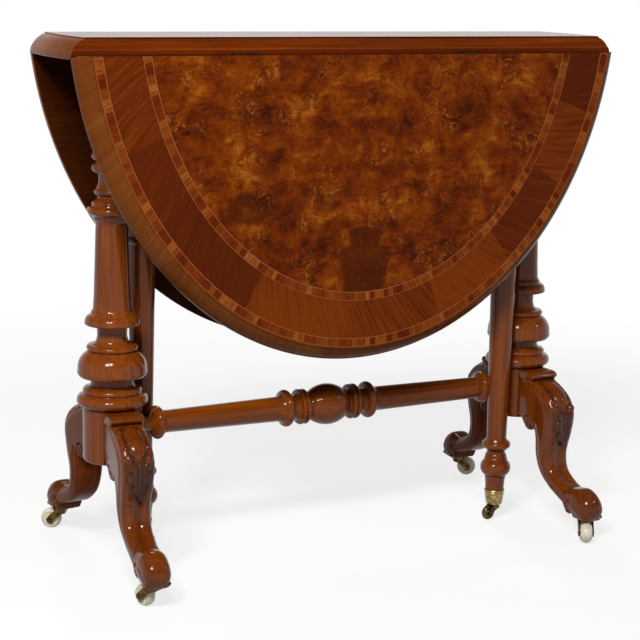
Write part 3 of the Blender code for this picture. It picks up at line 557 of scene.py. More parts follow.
def piece_from(name, points, faces):
    """A new piece drawn from its points and faces."""
    mesh = bpy.data.meshes.new(name)
    mesh.from_pydata([tuple(point) for point in points], [], faces)
    piece = bpy.data.objects.new(name, mesh)
    scene.collection.objects.link(piece)
    return piece


def hold(piece, editing=False):
    """Select one piece alone; to edit it, open it with all of it selected."""
    bpy.ops.object.select_all(action="DESELECT")
    piece.select_set(True)
    bpy.context.view_layer.objects.active = piece
    if editing:
        bpy.ops.object.mode_set(mode="EDIT")
        bpy.ops.mesh.select_all(action="SELECT")


# The front legs keep their polish; the rear ones get a darker copy with little gloss,
# painted shade for the legs that stand back, out of the light.
CARVED_WALNUT = {
    "front": polished_walnut("carved_walnut", "Z", "#e2ddd8", with_painted_shade=True, gloss=0.24),
    "rear": polished_walnut("shaded_carved_walnut", "Z", "#d6cec6", with_painted_shade=True, gloss=0.05, rough=0.16)}
points, faces, painted_shades = carved_leg()
for hand, x in HANDS:
    for end, side in ENDS:
        leg = piece_from(f"{hand}_{end}_scroll_leg", points, faces)
        # The leg carries its painted shade as a point attribute.
        leg.data.attributes.new("painted_shade", "FLOAT", "POINT").data.foreach_set("value", painted_shades)
        leg.data.transform(Matrix.Translation((x, 0, 0)) @ Matrix.Rotation(facing(x, side), 4, "Z"))
        hold(leg, editing=True)
        settle(close_up(leg), CARVED_WALNUT[end], "frame", "polished_walnut", f"{hand}_{end}_leg")

# Stretcher
# A turned walnut rail between the drums: a barrel bulb between paired rings, plain
# tapering shafts, and a flange and neck at each end.
WALNUT_LENGTHWAYS = polished_walnut("polished_walnut_lengthways", "X", gloss=0.18)
end = COLUMN_X - BLOCK_RADIUS - HAIRLINE
stretcher_z = sum(corner.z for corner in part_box("stretcher")) / 2
half_turning = profile(
    (0.0, end), (0.012, end), (0.010, end - 0.013, -0.001), (0.0165, end - 0.0165, -0.0005),
    (0.0185, end - 0.018), (0.0190, end - 0.030, 0.0045), (0.0165, end - 0.0315), (0.0165, end - 0.034),
    (0.0156, end - 0.036), (0.0176, 0.084), (0.0205, 0.0725, -0.0010), (0.0215, 0.0720),
    (0.0222, 0.0605, 0.0048), (0.0185, 0.0592), (0.0178, 0.0575), (0.0172, 0.0545), (0.0178, 0.0510),
    (0.0186, 0.0495), (0.0190, 0.0478), (0.0222, 0.0470), (0.0230, 0.0414, 0.0028), (0.0218, 0.0410),
    (0.0218, 0.0402), (0.0230, 0.0398), (0.0222, 0.0345, 0.0026), (0.0178, 0.0328), (0.0172, 0.0312),
    (0.0176, 0.0298))
bulb = arc(half_turning[-1], (0.0176, -0.0298), 0.0120, 28)
mirrored = [(radius, -height) for radius, height in half_turning[-2::-1]]
stretcher = on_lathe("stretcher_turning", half_turning + bulb + mirrored, (0.0, 0.0, stretcher_z), "X")
settle(stretcher, WALNUT_LENGTHWAYS, "frame", "polished_walnut", "stretcher")

# Top board
# The narrow fixed board: walnut with an ovolo worked round its bowed ends, and a rebate
# and bead along each joint. Its face carries the same veneers as the leaves, in one oval.
TOP_LENGTH = 0.828
OPEN_WIDTH = 0.992
OVAL_STEPS = 288
MOULDING_WIDTH = 0.019
MOULDING_FILLET = 0.0015
OVOLO_DROP = 0.0195
OVOLO_BULGE = 0.0030
EDGE_LIP = 0.0015
UNDER_ARRIS = 0.0007
ARRIS = 0.0018
LEDGE = 0.0008
BANDS = (("outer_inlay", 0.0125), ("crossband", 0.052), ("inner_inlay", 0.0125))
VENEER = 0.0009
SEAM = 0.0003
REBATE = 0.0020
REBATE_DEPTH = 0.0148
JOINT_GAP = 0.0008
CHAMFER = 0.0040
CHAMFER_GAP = 0.00045
SPARE = 0.010  # by this much a cutting shape stands clear of the wood
STRING = 0.0011
INLAY_BLOCK = 0.010
PAINTED_LIGHT_HEIGHT = (0.26, 0.46)  # painted light: the crossband is painted paler downwards between these heights
FIGURE_FOOT = 0.360
FIGURE_TOP = 0.470
FIGURE_HALF = 0.053
CLOUDS = (  # place across and up, half width, depth
    (-0.176, 0.498, 0.035, 0.66), (-0.132, 0.525, 0.014, 0.50), (-0.060, 0.500, 0.020, 0.42),
    (0.085, 0.520, 0.016, 0.45), (0.045, 0.545, 0.022, 0.35), (0.190, 0.560, 0.018, 0.35))
underside, top_z = (corner.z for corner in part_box("top_board"))
board_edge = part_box("top_board")[1].y
pin_z = underside + CHAMFER
shoulder = top_z - MOULDING_FILLET
face_inset = MOULDING_WIDTH + EDGE_LIP
ovolo = [(MOULDING_WIDTH, shoulder)]
ovolo += arc(ovolo[0], (0.0, shoulder - OVOLO_DROP), -OVOLO_BULGE, 12)
ovolo += [(0.0, underside + UNDER_ARRIS), (UNDER_ARRIS, underside)]


def oval_rings(name, stations):
    """The oval drawn ring by ring, an inset and a height for each, and capped where it stays open."""
    bpy.ops.object.select_all(action="DESELECT")
    bpy.ops.mesh.primitive_circle_add(vertices=OVAL_STEPS, radius=1.0)
    piece = bpy.context.object
    piece.name = name
    bpy.ops.object.mode_set(mode="EDIT")
    bpy.ops.mesh.select_all(action="SELECT")
    across, deep, level = 1.0, 1.0, 0.0
    for k, (inset, height) in enumerate(stations):
        if k:
            bpy.ops.mesh.extrude_region_move()
        reach = (TOP_LENGTH / 2 - inset, OPEN_WIDTH / 2 - inset)
        bpy.ops.transform.resize(value=(reach[0] / across, reach[1] / deep, 1.0))
        bpy.ops.transform.translate(value=(0.0, 0.0, height - level))
        across, deep, level = *reach, height
    bpy.ops.mesh.select_all(action="SELECT")
    if stations[0] != stations[-1]:
        bpy.ops.mesh.fill_holes(sides=0)
    return close_up(piece)


def prism(name, section, start, end):
    """A solid with one cross section, given across and up, between two places along X."""
    piece = piece_from(name, [(start, *spot) for spot in section], [list(range(len(section)))])
    hold(piece, editing=True)
    bpy.ops.mesh.extrude_region_move(TRANSFORM_OT_translate={"value": (end - start, 0.0, 0.0)})
    return close_up(piece)


def apply_step(piece, step):
    """Apply a modifier to a piece and leave it smooth."""
    hold(piece)
    bpy.ops.object.modifier_apply(modifier=step.name)
    bpy.ops.object.shade_smooth_by_angle(angle=SOFT_ANGLE)


def cut(piece, tool, operation="DIFFERENCE"):
    """Shape a piece with a tool that is then thrown away."""
    step = piece.modifiers.new("cut", "BOOLEAN")
    step.operation = operation
    step.object = tool
    apply_step(piece, step)
    bpy.data.objects.remove(tool, do_unlink=True)


def pocket(piece, node):
    """Let a hinge flap into the wood."""
    low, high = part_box(node)
    section = [(low.y - SEAM, low.z - SEAM), (high.y + SEAM, low.z - SEAM),
               (high.y + SEAM, high.z + SEAM), (low.y - SEAM, high.z + SEAM)]
    cut(piece, prism("pocket", section, low.x - SEAM, high.x + SEAM))


def map_oval(piece):
    """UV of a piece of the top that lies flat: metres round the oval, and metres in from its edge."""
    mesh = piece.data
    spots = np.empty(len(mesh.vertices) * 3)
    mesh.vertices.foreach_get("co", spots)
    x, y = spots.reshape(-1, 3)[:, :2].T
    near, far = np.zeros_like(x), np.full_like(x, TOP_LENGTH / 2 - 0.001)
    for _ in range(30):
        inset = (near + far) / 2
        outside = (x / (TOP_LENGTH / 2 - inset)) ** 2 + (y / (OPEN_WIDTH / 2 - inset)) ** 2 > 1
        near, far = np.where(outside, near, inset), np.where(outside, inset, far)
    turns = np.linspace(0, 2 * math.pi, 2001)
    rim = np.column_stack((TOP_LENGTH / 2 * np.cos(turns), OPEN_WIDTH / 2 * np.sin(turns)))
    lengths = np.concatenate(([0.0], np.cumsum(np.hypot(*np.diff(rim, axis=0).T))))
    angle = np.arctan2(y / (OPEN_WIDTH / 2 - inset), x / (TOP_LENGTH / 2 - inset)) % (2 * math.pi)
    round_edge = np.interp(angle, turns, lengths)
    corners = np.empty(len(mesh.loops), int)
    mesh.loops.foreach_get("vertex_index", corners)
    along = round_edge[corners]
    for face in mesh.polygons:
        part = along[face.loop_start:face.loop_start + face.loop_total]
        if np.ptp(part) > lengths[-1] / 2:
            part[part < lengths[-1] / 2] += lengths[-1]
    layer = mesh.uv_layers.new(name="oval")
    layer.data.foreach_set("uv", np.column_stack((along, inset[corners])).ravel())


def satin_polish(tree, shader, colour, grain):
    """Finish shared by the veneers: the colour under a thin, even shellac polish."""
    relief = put(tree, "Bump", {"Strength": 0.10, "Distance": 0.0002, "Height": grain})
    plug(tree, shader, {"Base Color": colour, "Roughness": 0.16, "Specular IOR Level": 0.035,
                        "Normal": relief})


def oval_coordinates(tree):
    """Metres round the oval and metres in from its edge."""
    spot = put(tree, "SeparateXYZ", {0: put(tree, "UVMap", uv_map="oval")})
    return spot.outputs[0], spot.outputs[1]


def burr_walnut():
    """Burr veneer, two sheets opened like a book: soft blotches of 15 to 50 mm, short streaks, pale curls.

    The broad figure mirrors about the middle of the table; low down the sheets meet in a dark vase shape.
    Fine curls and knots differ from sheet to sheet, and a few dark clouds lie to one side.
    """
    made, tree, shader = new_material("burr_walnut")
    place = put(tree, "TexCoord").outputs["Object"]
    spot = put(tree, "SeparateXYZ", {0: place}).outputs
    fold = put(tree, "Math", {0: spot[0]}, operation="ABSOLUTE")
    page = put(tree, "CombineXYZ", {0: fold, 1: spot[1], 2: spot[2]})
    drift = put(tree, "TexNoise", {"Vector": place, "Scale": 1 / 0.050, "Detail": 3.0})
    lean = put(tree, "VectorMath", {0: drift.outputs["Color"], 1: (0.5, 0.5, 0.5)}, operation="SUBTRACT")
    paged, bent = (put(tree, "VectorMath", {0: lean, 1: (0.032, 0.032, 0.032), 2: base},
                       operation="MULTIPLY_ADD") for base in (page, place))
    blotch = put(tree, "TexNoise", {"Vector": paged, "Scale": 1 / 0.044, "Detail": 3.0, "Roughness": 0.55})
    mottle = put(tree, "TexNoise", {"Vector": bent, "Scale": 1 / 0.017, "Detail": 4.0, "Roughness": 0.56,
                                    "Distortion": 0.5})
    flat = put(tree, "Mapping", {"Vector": bent, "Scale": (1 / 0.040, 1 / 0.005, 1 / 0.005)})
    streak = put(tree, "TexNoise", {"Vector": flat, "Scale": 1.0, "Detail": 3.0, "Distortion": 0.8})
    tone = put(tree, "Mix", {0: 0.40, 2: blotch, 3: mottle})
    tone = put(tree, "Mix", {0: 0.18, 2: tone, 3: streak})
    surface = put(tree, "ValToRGB", {"Fac": tone},
                  [(0.37, "#3c1202"), (0.45, "#5d2103"), (0.51, "#6f2b03"), (0.57, "#7f3805"),
                   (0.66, "#a05814")])
    curl = put(tree, "TexNoise", {"Vector": bent, "Scale": 1 / 0.011, "Detail": 2.0, "Distortion": 2.0})
    ridge = put(tree, "MapRange", {"Value": curl, "From Min": 0.54, "From Max": 0.66})
    where = put(tree, "MapRange", {"Value": drift, "From Min": 0.48, "From Max": 0.62, "To Max": 0.42})
    curled = put(tree, "Math", {0: ridge, 1: where}, operation="MULTIPLY")
    knots = put(tree, "TexNoise", {"Vector": bent, "Scale": 1 / 0.012, "Detail": 2.0, "Distortion": 1.2})
    dark = put(tree, "MapRange", {"Value": knots, "From Min": 0.58, "From Max": 0.70, "To Max": 0.60})
    # The grey of each stop, from the foot of the vase to its top, is a share of its half width.
    height = put(tree, "MapRange", {"Value": spot[2], "From Min": FIGURE_FOOT, "From Max": FIGURE_TOP})
    waist = put(tree, "ValToRGB", {"Fac": height},
                [(0.0, "#f0f0f0"), (0.10, "#d4d4d4"), (0.60, "#e8e8e8"), (0.70, "#e6e6e6"),
                 (0.74, "#bcbcbc"), (0.92, "#cccccc"), (1.0, "#000000")])
    reach = put(tree, "Math", {0: waist, 1: FIGURE_HALF}, operation="MULTIPLY")
    reach = put(tree, "Math", {0: mottle, 1: 0.020, 2: reach}, operation="MULTIPLY_ADD")
    inside = put(tree, "Math", {0: reach, 1: fold}, operation="SUBTRACT")
    figure = put(tree, "MapRange", {"Value": inside, "From Min": 0.013, "From Max": 0.018, "To Max": 1.3})
    figure = put(tree, "Math", {0: figure, 1: mottle}, operation="MULTIPLY")
    layers = [(curled, "#b8742c"), (dark, "#421402"), (figure, "#3c1303")]
    for across, up, size, depth in CLOUDS:
        off = put(tree, "VectorMath", {0: bent, 1: (across, 0.0, up)}, operation="SUBTRACT")
        off = put(tree, "VectorMath", {0: off, 1: (1 / size, 0.0, 1.3 / size)}, operation="MULTIPLY")
        off = put(tree, "VectorMath", {0: off}, operation="LENGTH")
        cloud = put(tree, "MapRange", {"Value": off, "From Min": 0.7, "From Max": 1.0, "To Min": depth,
                                       "To Max": 0.0}, interpolation_type="SMOOTHSTEP")
        layers.append((cloud, "#421402"))
    for share, code in layers:
        surface = put(tree, "Mix", {0: share, 6: surface, 7: linear(code)}, data_type="RGBA")
    satin_polish(tree, shader, surface, mottle)
    return made


def tulipwood_inlay(name, start, width):
    """Inlay band: blocks of tulipwood about 10 mm long laid across, between two boxwood strings.

    Tulipwood has fine stripes; they are drawn 2.4 mm wide, coarser than in the real wood, so that they show.
    """
    made, tree, shader = new_material(name)
    along, inset = oval_coordinates(tree)
    pace = put(tree, "Math", {0: along, 1: 1 / INLAY_BLOCK}, operation="MULTIPLY")
    block, gap = (put(tree, "TexVoronoi", {"W": pace, "Scale": 1.0}, voronoi_dimensions="1D", feature=feature)
                  for feature in ("F1", "DISTANCE_TO_EDGE"))
    tint = put(tree, "ValToRGB", {"Fac": put(tree, "SeparateColor", {0: block.outputs["Color"]})},
               [(0.0, "#5f1d05"), (0.25, "#742c08"), (0.55, "#803a0d"), (0.80, "#8f4716"), (1.0, "#9f5722")])
    place = put(tree, "CombineXYZ", {0: along, 1: inset})
    lines = put(tree, "Mapping", {"Vector": place, "Scale": (1 / 0.0024, 1 / 0.02, 1.0)})
    grain = put(tree, "TexNoise", {"Vector": lines, "Scale": 1.0, "Detail": 3.0})
    dark = put(tree, "MapRange", {"Value": grain, "From Min": 0.42, "From Max": 0.68, "To Max": 0.6})
    joint = put(tree, "MapRange", {"Value": gap, "From Max": 0.03, "To Min": 0.7, "To Max": 0.0})
    centred = put(tree, "Math", {0: inset, 1: start + width / 2}, operation="SUBTRACT")
    off = put(tree, "Math", {0: centred}, operation="ABSOLUTE")
    string = put(tree, "MapRange", {"Value": off, "From Min": width / 2 - STRING,
                                    "From Max": width / 2 - STRING + 0.0002})
    surface = tint
    for share, code in ((dark, "#541704"), (joint, "#3a0f03"), (string, "#9a5a2b")):
        surface = put(tree, "Mix", {0: share, 6: surface, 7: linear(code)}, data_type="RGBA")
    satin_polish(tree, shader, surface, grain)
    return made


def crossbanded_walnut(name, piece_length, streak, dark, mid, light, painted_light=0.0):
    """Straight-grained walnut laid across an edge in short lengths, each a little different.

    Low on a hanging leaf its tone may be raised towards a paler colour: painted light.
    """
    made, tree, shader = new_material(name)
    along, inset = oval_coordinates(tree)
    slant = put(tree, "Math", {0: inset, 1: 0.55, 2: along}, operation="MULTIPLY_ADD")
    pace = put(tree, "Math", {0: along, 1: 1 / piece_length}, operation="MULTIPLY")
    length = put(tree, "TexVoronoi", {"W": pace, "Scale": 1.0}, voronoi_dimensions="1D", feature="F1")
    pick = put(tree, "SeparateColor", {0: length.outputs["Color"]})
    shift = put(tree, "Math", {0: pick.outputs[1], 1: 7.0}, operation="MULTIPLY")
    place = put(tree, "CombineXYZ", {0: slant, 1: inset, 2: shift})
    lines = put(tree, "Mapping", {"Vector": place, "Scale": (1 / streak, 1 / (streak * 12), 1.0)})
    grain = put(tree, "TexNoise", {"Vector": lines, "Scale": 1.0, "Detail": 4.0, "Roughness": 0.58})
    tone = put(tree, "Mix", {0: 0.32, 2: grain, 3: pick})
    # Painted light: the tone rises lower down, so a hanging leaf's crossband is paler towards its foot.
    up = put(tree, "SeparateXYZ", {0: put(tree, "TexCoord").outputs["Object"]})
    fade = put(tree, "MapRange", {"Value": up.outputs[2], "From Min": PAINTED_LIGHT_HEIGHT[0],
                                  "From Max": PAINTED_LIGHT_HEIGHT[1], "To Min": painted_light, "To Max": 0.0})
    tone = put(tree, "Math", {0: tone, 1: fade}, operation="ADD")
    colour = put(tree, "ValToRGB", {"Fac": tone}, [(0.28, dark), (0.50, mid), (0.72, light)])
    satin_polish(tree, shader, colour, grain)
    return made


BURR = burr_walnut()
band_start = face_inset
band_materials = {}
for label, width in BANDS:
    if label == "crossband":
        band_materials[label] = crossbanded_walnut("crossband_walnut", 0.15, 0.0060,
                                                   "#511b03", "#5d2204", "#7a3508", 0.20)
    else:
        band_materials[label] = tulipwood_inlay(label + "_tulipwood", band_start, width)
    band_start += width
field_inset = band_start
EDGE_WALNUT = crossbanded_walnut("edge_moulding_walnut", 0.055, 0.0075, "#66320f", "#743c14", "#83491d")

# Solid walnut away from the show face: dull brown backs, darkened further as painted shade; a joint
# worn golden, with painted shade near black on its top arris and on the leaves' faces along the gap;
# and the ledge over its bead rubbed bright under a hard coat of polish.
# Plain walnut backs, their brown darkened further as painted shade.
BACK_WALNUT = polished_walnut("plain_walnut_back", "X", "#857f7c", gloss=0.05, rough=0.45)
JOINT_WALNUT = polished_walnut("joint_edge_walnut", "X", "#f2d28c", gloss=0.03)
BEAD_WALNUT = polished_walnut("bead_walnut", "X", "#ccaa74", gloss=0.03)
# Near-black walnut: painted shade for the joint's gap and the board's top arris.
DARK_WALNUT = polished_walnut("joint_walnut_painted_shade", "X", "#5a4c40", gloss=0.03, rough=0.40)
LEDGE_WALNUT = JOINT_WALNUT.copy()
LEDGE_WALNUT.name = "waxed_" + JOINT_WALNUT.name
tree = LEDGE_WALNUT.node_tree
plug(tree, tree.nodes["Principled BSDF"], {"Coat Weight": 1.0, "Coat Roughness": 0.05})

stations = [(field_inset, top_z)]
for label, width in reversed(BANDS):
    stations.append((stations[-1][0] - width, top_z))
stations += [(MOULDING_WIDTH, top_z)] + ovolo
board = oval_rings("top_board_veneered", stations)
bands = [band_materials[label] for label, _ in reversed(BANDS)]
board_slots = (JOINT_WALNUT, BURR, *bands, BACK_WALNUT, EDGE_WALNUT, LEDGE_WALNUT, DARK_WALNUT, BEAD_WALNUT)
for material in board_slots:
    board.data.materials.append(material)
for face in board.data.polygons:
    ring = face.index // OVAL_STEPS
    if ring < len(bands):
        kind = bands[ring]
    elif ring < len(stations) - 1:
        kind = EDGE_WALNUT
    else:
        kind = BURR if face.normal.z > 0 else BACK_WALNUT
    face.material_index = board_slots.index(kind)
ledge = top_z - REBATE_DEPTH
foot_y = board_edge - CHAMFER - CHAMFER_GAP
wall = board_edge - REBATE
half_section = [(wall - ARRIS, top_z + SPARE), (wall - ARRIS, top_z), (wall, top_z - ARRIS), (wall, ledge),
                (wall + LEDGE, ledge)]
half_section += arc(half_section[-1], (board_edge, ledge - REBATE), REBATE * 0.22, 6)
half_section += [(board_edge, pin_z + CHAMFER_GAP), (foot_y, underside), (foot_y, underside - SPARE)]
mirrored = [(-y, z) for y, z in half_section[::-1]]
cut(board, prism("board_section", half_section + mirrored, -TOP_LENGTH, TOP_LENGTH), "INTERSECT")
for face in board.data.polygons:
    kind = board_slots[face.material_index]
    # Above the ledge, faces that look upwards form the arris and take the near-black walnut, painted shade.
    if kind == JOINT_WALNUT and face.center.z > ledge + 0.001:
        kind = DARK_WALNUT if face.normal.z > 0.4 else JOINT_WALNUT
    elif kind == JOINT_WALNUT:
        kind = LEDGE_WALNUT if face.normal.z > 0.3 else BEAD_WALNUT
    face.material_index = board_slots.index(kind)
map_oval(board)
hinges = [f"{end}_{hand}_hinge" for end, _ in ENDS for hand, _ in HANDS]
for hinge in hinges:
    pocket(board, hinge + "_board_flap")
settle(board, None, "frame", "polished_walnut", "top_board")

# Leaves
# Two drop leaves hang from the board. Each is a walnut half oval with the same moulded
# edge, a tongue along its joint, and burr, inlays and crossband laid flush in its face.
LEAF_HINGE_Y = board_edge + 0.0004
TONGUE_GAP = 0.0005
hang = (Matrix.Translation((0.0, -LEAF_HINGE_Y, pin_z)) @ Matrix.Rotation(math.pi / 2, 4, "X")
        @ Matrix.Translation((0.0, LEAF_HINGE_Y, -pin_z)))
half_turn = Matrix.Rotation(math.pi, 4, "Z")
tongue = wall + JOINT_GAP
edge = board_edge + JOINT_GAP
tongue_foot = ledge + TONGUE_GAP
foot_y = edge + CHAMFER + CHAMFER_GAP
far_y = OPEN_WIDTH / 2 + SPARE
leaf_section = [(-tongue, top_z + SPARE), (-tongue, tongue_foot), (-edge, tongue_foot),
                (-edge, pin_z + CHAMFER_GAP), (-foot_y, underside), (-foot_y, underside - SPARE),
                (-far_y, underside - SPARE), (-far_y, top_z + SPARE)]
floor_z = top_z - VENEER - SEAM
leaf = oval_rings("front_leaf_moulded",
                  [(face_inset, floor_z), (face_inset, top_z), (MOULDING_WIDTH, top_z)] + ovolo)
# Faces cut along the joint take the first slot, near-black walnut painted as the shade in the gap.
leaf_slots = (DARK_WALNUT, EDGE_WALNUT, BACK_WALNUT)
for material in leaf_slots:
    leaf.data.materials.append(material)
for face in leaf.data.polygons:
    face.material_index = leaf_slots.index(BACK_WALNUT if len(face.vertices) > 4 else EDGE_WALNUT)
cut(leaf, prism("leaf_section", leaf_section, -TOP_LENGTH, TOP_LENGTH), "INTERSECT")
map_oval(leaf)
leaf.data.transform(hang)
for hinge in hinges[:2]:
    pocket(leaf, hinge + "_leaf_flap")
laid = [("leaf", leaf, None, "polished_walnut")]
inset = face_inset
for label, width in BANDS:
    rim = [(inset + SEAM, top_z), (inset + width, top_z), (inset + width, top_z - VENEER),
           (inset + SEAM, top_z - VENEER), (inset + SEAM, top_z)]
    band = oval_rings(f"front_{label}_veneer", rim)
    slot = "crossbanded_walnut" if label == "crossband" else "tulipwood"
    laid.append((label, band, band_materials[label], slot))
    inset += width
field = oval_rings("front_burr_field_veneer", [(inset + SEAM, top_z), (inset + SEAM, top_z - VENEER)])
laid.append(("burr_field", field, BURR, "burr_walnut"))
for label, piece, material, slot in laid:
    if piece != leaf:
        hold(piece, editing=True)
        bpy.ops.mesh.bisect(plane_co=(0.0, -tongue - SEAM, 0.0), plane_no=(0.0, 1.0, 0.0),
                            use_fill=True, clear_outer=True)
        close_up(piece)
        map_oval(piece)
        piece.data.transform(hang)
    settle(piece, material, "front_leaf", slot, "front_" + label)
    twin = copy_of(piece, piece.name.replace("front", "rear"), half_turn)
    settle(twin, material, "rear_leaf", slot, "rear_" + label)

# Rails and bearers
# The underframe is plain stained beech: a bearer on each column, a centre rail between them,
# and a fixed rail and a fly rail each side that meet in a wooden knuckle on a steel pin.


def stained_beech():
    """Beech stained to match the walnut: even brown, short darker flecks 0.6 by 3 mm, dull wax."""
    made, tree, shader = new_material("stained_beech")
    spot = put(tree, "TexCoord").outputs["Object"]
    long = put(tree, "Mapping", {"Vector": spot, "Scale": (1 / 0.12, 1 / 0.006, 1 / 0.006)})
    band = put(tree, "TexNoise", {"Vector": long, "Scale": 1.0, "Detail": 3.0})
    colour = put(tree, "ValToRGB", {"Fac": band}, [(0.32, "#3a1c0d"), (0.50, "#4c2712"), (0.70, "#5f351b")])
    short = put(tree, "Mapping", {"Vector": spot, "Scale": (1 / 0.003, 1 / 0.0006, 1 / 0.0006)})
    fleck = put(tree, "TexNoise", {"Vector": short, "Scale": 1.0, "Detail": 1.0})
    dots = put(tree, "MapRange", {"Value": fleck, "From Min": 0.60, "From Max": 0.70, "To Max": 0.5})
    flecked = put(tree, "Mix", {0: dots, 6: colour, 7: linear("#26110a")}, data_type="RGBA")
    relief = put(tree, "Bump", {"Strength": 0.2, "Distance": 0.0003, "Height": fleck})
    plug(tree, shader, {"Base Color": flecked, "Roughness": 0.42, "Specular IOR Level": 0.25,
                        "Normal": relief})
    return made


def metal(name, deep, bright, rough):
    """Old metal: a worn bright tone and a darker tarnish in cloudy patches of about 6 mm."""
    made, tree, shader = new_material(name)
    spot = put(tree, "TexCoord").outputs["Object"]
    cloud = put(tree, "TexNoise", {"Vector": spot, "Scale": 1 / 0.006, "Detail": 5.0, "Roughness": 0.65})
    colour = put(tree, "ValToRGB", {"Fac": cloud}, [(0.35, deep), (0.66, bright)])
    dull = put(tree, "MapRange", {"Value": cloud, "From Min": 0.3, "From Max": 0.7, "To Min": rough + 0.18,
                                  "To Max": rough})
    relief = put(tree, "Bump", {"Strength": 0.15, "Distance": 0.0002, "Height": cloud})
    plug(tree, shader, {"Base Color": colour, "Roughness": dull, "Metallic": 1.0, "Normal": relief})
    return made


def dress(material, *names):
    """Give nodes that keep their own shape a finished material."""
    for name in names:
        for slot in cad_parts[name].material_slots:
            slot.material = material


BEECH = stained_beech()
STEEL = metal("steel_pin", "#4c4a47", "#8b8884", 0.32)
BRASS = metal("aged_brass", "#6b5a30", "#b3a06a", 0.24)
DULL_BRASS = metal("tarnished_brass", "#2c2113", "#6b5731", 0.32)
dress(BEECH, "centre_rail", "left_bearer", "right_bearer")
for end, _ in ENDS:
    dress(BEECH, end + "_fixed_rail", end + "_fly_rail")
    dress(STEEL, end + "_knuckle_pin")

# Swing legs
# A turned walnut leg swings out under each raised leaf. Its square head is tenoned to the
# fly rail; its foot sits in a tapered brass cup with a small brass castor.
GATE_HEAD = 0.042
GATE_HEAD_HEIGHT = 0.085
HEAD_EASE = 0.0015


def joined(name, pieces):
    """Several closed shapes kept as one piece."""
    hold(pieces[0])
    for piece in pieces:
        piece.select_set(True)
    bpy.ops.object.join()
    pieces[0].name = name
    return pieces[0]


def ease_edges(piece, width):
    """Round every sharp edge of a piece a little."""
    step = piece.modifiers.new("ease", "BEVEL")
    step.width = width
    step.segments = 3
    step.limit_method = "ANGLE"
    apply_step(piece, step)


def middle_of(node):
    """Middle of a node, seen from above."""
    low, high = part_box(node)
    return (low.x + high.x) / 2, (low.y + high.y) / 2


gate_x, gate_y = middle_of("front_gate_cup")
cup_low, cup_top = (corner.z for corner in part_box("front_gate_cup"))
gate_foot, gate_top = (corner.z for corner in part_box("front_gate_leg"))
neck = gate_top - GATE_HEAD_HEIGHT
turning = on_lathe("front_swing_leg", profile(
    (0.0, neck + 0.002), (0.0195, neck + 0.002), (0.0195, neck - 0.006), (0.0176, neck - 0.0085),
    (0.0152, neck - 0.014, -0.001), (0.0176, neck - 0.0185), (0.0205, neck - 0.0195),
    (0.0205, neck - 0.0305, 0.0032), (0.0176, neck - 0.0315), (0.0163, neck - 0.035, -0.0005),
    (0.0192, neck - 0.110, 0.002), (0.0201, neck - 0.158), (0.0208, neck - 0.160),
    (0.0208, neck - 0.168, 0.002), (0.0199, neck - 0.1695), (0.0192, neck - 0.172),
    (0.0148, cup_top + 0.0860), (0.0148, cup_top + 0.0835), (0.0163, cup_top + 0.0770, -0.0008),
    (0.0170, cup_top + 0.0755), (0.0170, cup_top + 0.0640, 0.0042), (0.0150, cup_top + 0.0610),
    (0.0134, cup_top + 0.0580, -0.0005), (0.0148, cup_top + 0.0548), (0.0158, cup_top + 0.0538),
    (0.0160, cup_top + 0.0516), (0.0155, cup_top + 0.0508), (0.0170, cup_top + 0.0490),
    (0.0174, cup_top + 0.0462), (0.0169, cup_top + 0.0454), (0.0163, cup_top + 0.0225, 0.0060),
    (0.0154, cup_top + 0.0217), (0.0157, cup_top + 0.0195), (0.0150, cup_top + 0.0182),
    (0.0137, cup_top + HAIRLINE), (0.0105, gate_foot), (0.0, gate_foot)), (gate_x, gate_y, 0.0))
inner_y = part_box("front_fly_rail")[1].y
outer_y = gate_y - GATE_HEAD / 2
square = prism("gate_head", [(outer_y, neck), (inner_y, neck), (inner_y, gate_top), (outer_y, gate_top)],
               gate_x - GATE_HEAD / 2, gate_x + GATE_HEAD / 2)
ease_edges(square, HEAD_EASE)
swing_leg = joined("front_swing_leg", [turning, square])
cup = on_lathe("front_leg_cup", profile(
    (0.0, cup_low), (0.0115, cup_low), (0.0120, cup_low + 0.0006), (0.0146, cup_top - 0.0045),
    (0.0151, cup_top - 0.0040), (0.0151, cup_top - 0.0008, 0.0007), (0.0146, cup_top),
    (0.0141, cup_top - 0.0002), (0.0139, cup_top - 0.0012), (0.0107, cup_low + 0.0026),
    (0.0, cup_low + 0.0026)), (gate_x, gate_y, 0.0))
for piece, material, slot, node in ((swing_leg, WALNUT_UPRIGHT, "polished_walnut", "_gate_leg"),
                                    (cup, BRASS, "aged_brass", "_gate_cup")):
    settle(piece, material, "front_gate", slot, "front" + node)
    twin = copy_of(piece, piece.name.replace("front", "rear"), half_turn)
    settle(twin, material, "rear_gate", slot, "rear" + node)

# Castors
# Under each scroll leg a cast brass fork with broad horns carries a wide cream ceramic
# wheel; under each swing leg the fork and wheel are small and all brass.
CERAMIC_WHEEL = (0.0150, 0.016, 0.0058)  # radius, width, half width of the fork's horns
BRASS_WHEEL = (0.0110, 0.009, 0.0042)
CHEEK = 0.0022
CHEEK_GAP = 0.0008
CROWN_EDGE = 0.0012
CROWN_HEIGHT = 0.0060
FORK_EASE = 0.0007
AXLE = (0.0023, 0.0032, 0.0011)  # radius, radius of its heads, height of its heads


def cream_ceramic():
    """Glazed earthenware, ivory white, with faint yellowing in patches of about 8 mm and a clear gloss."""
    made, tree, shader = new_material("cream_ceramic")
    spot = put(tree, "TexCoord").outputs["Object"]
    cloud = put(tree, "TexNoise", {"Vector": spot, "Scale": 1 / 0.008, "Detail": 3.0})
    colour = put(tree, "ValToRGB", {"Fac": cloud}, [(0.30, "#cfc3a4"), (0.55, "#e2dac4"), (0.75, "#eae4d3")])
    plug(tree, shader, {"Base Color": colour, "Roughness": 0.16})
    return made


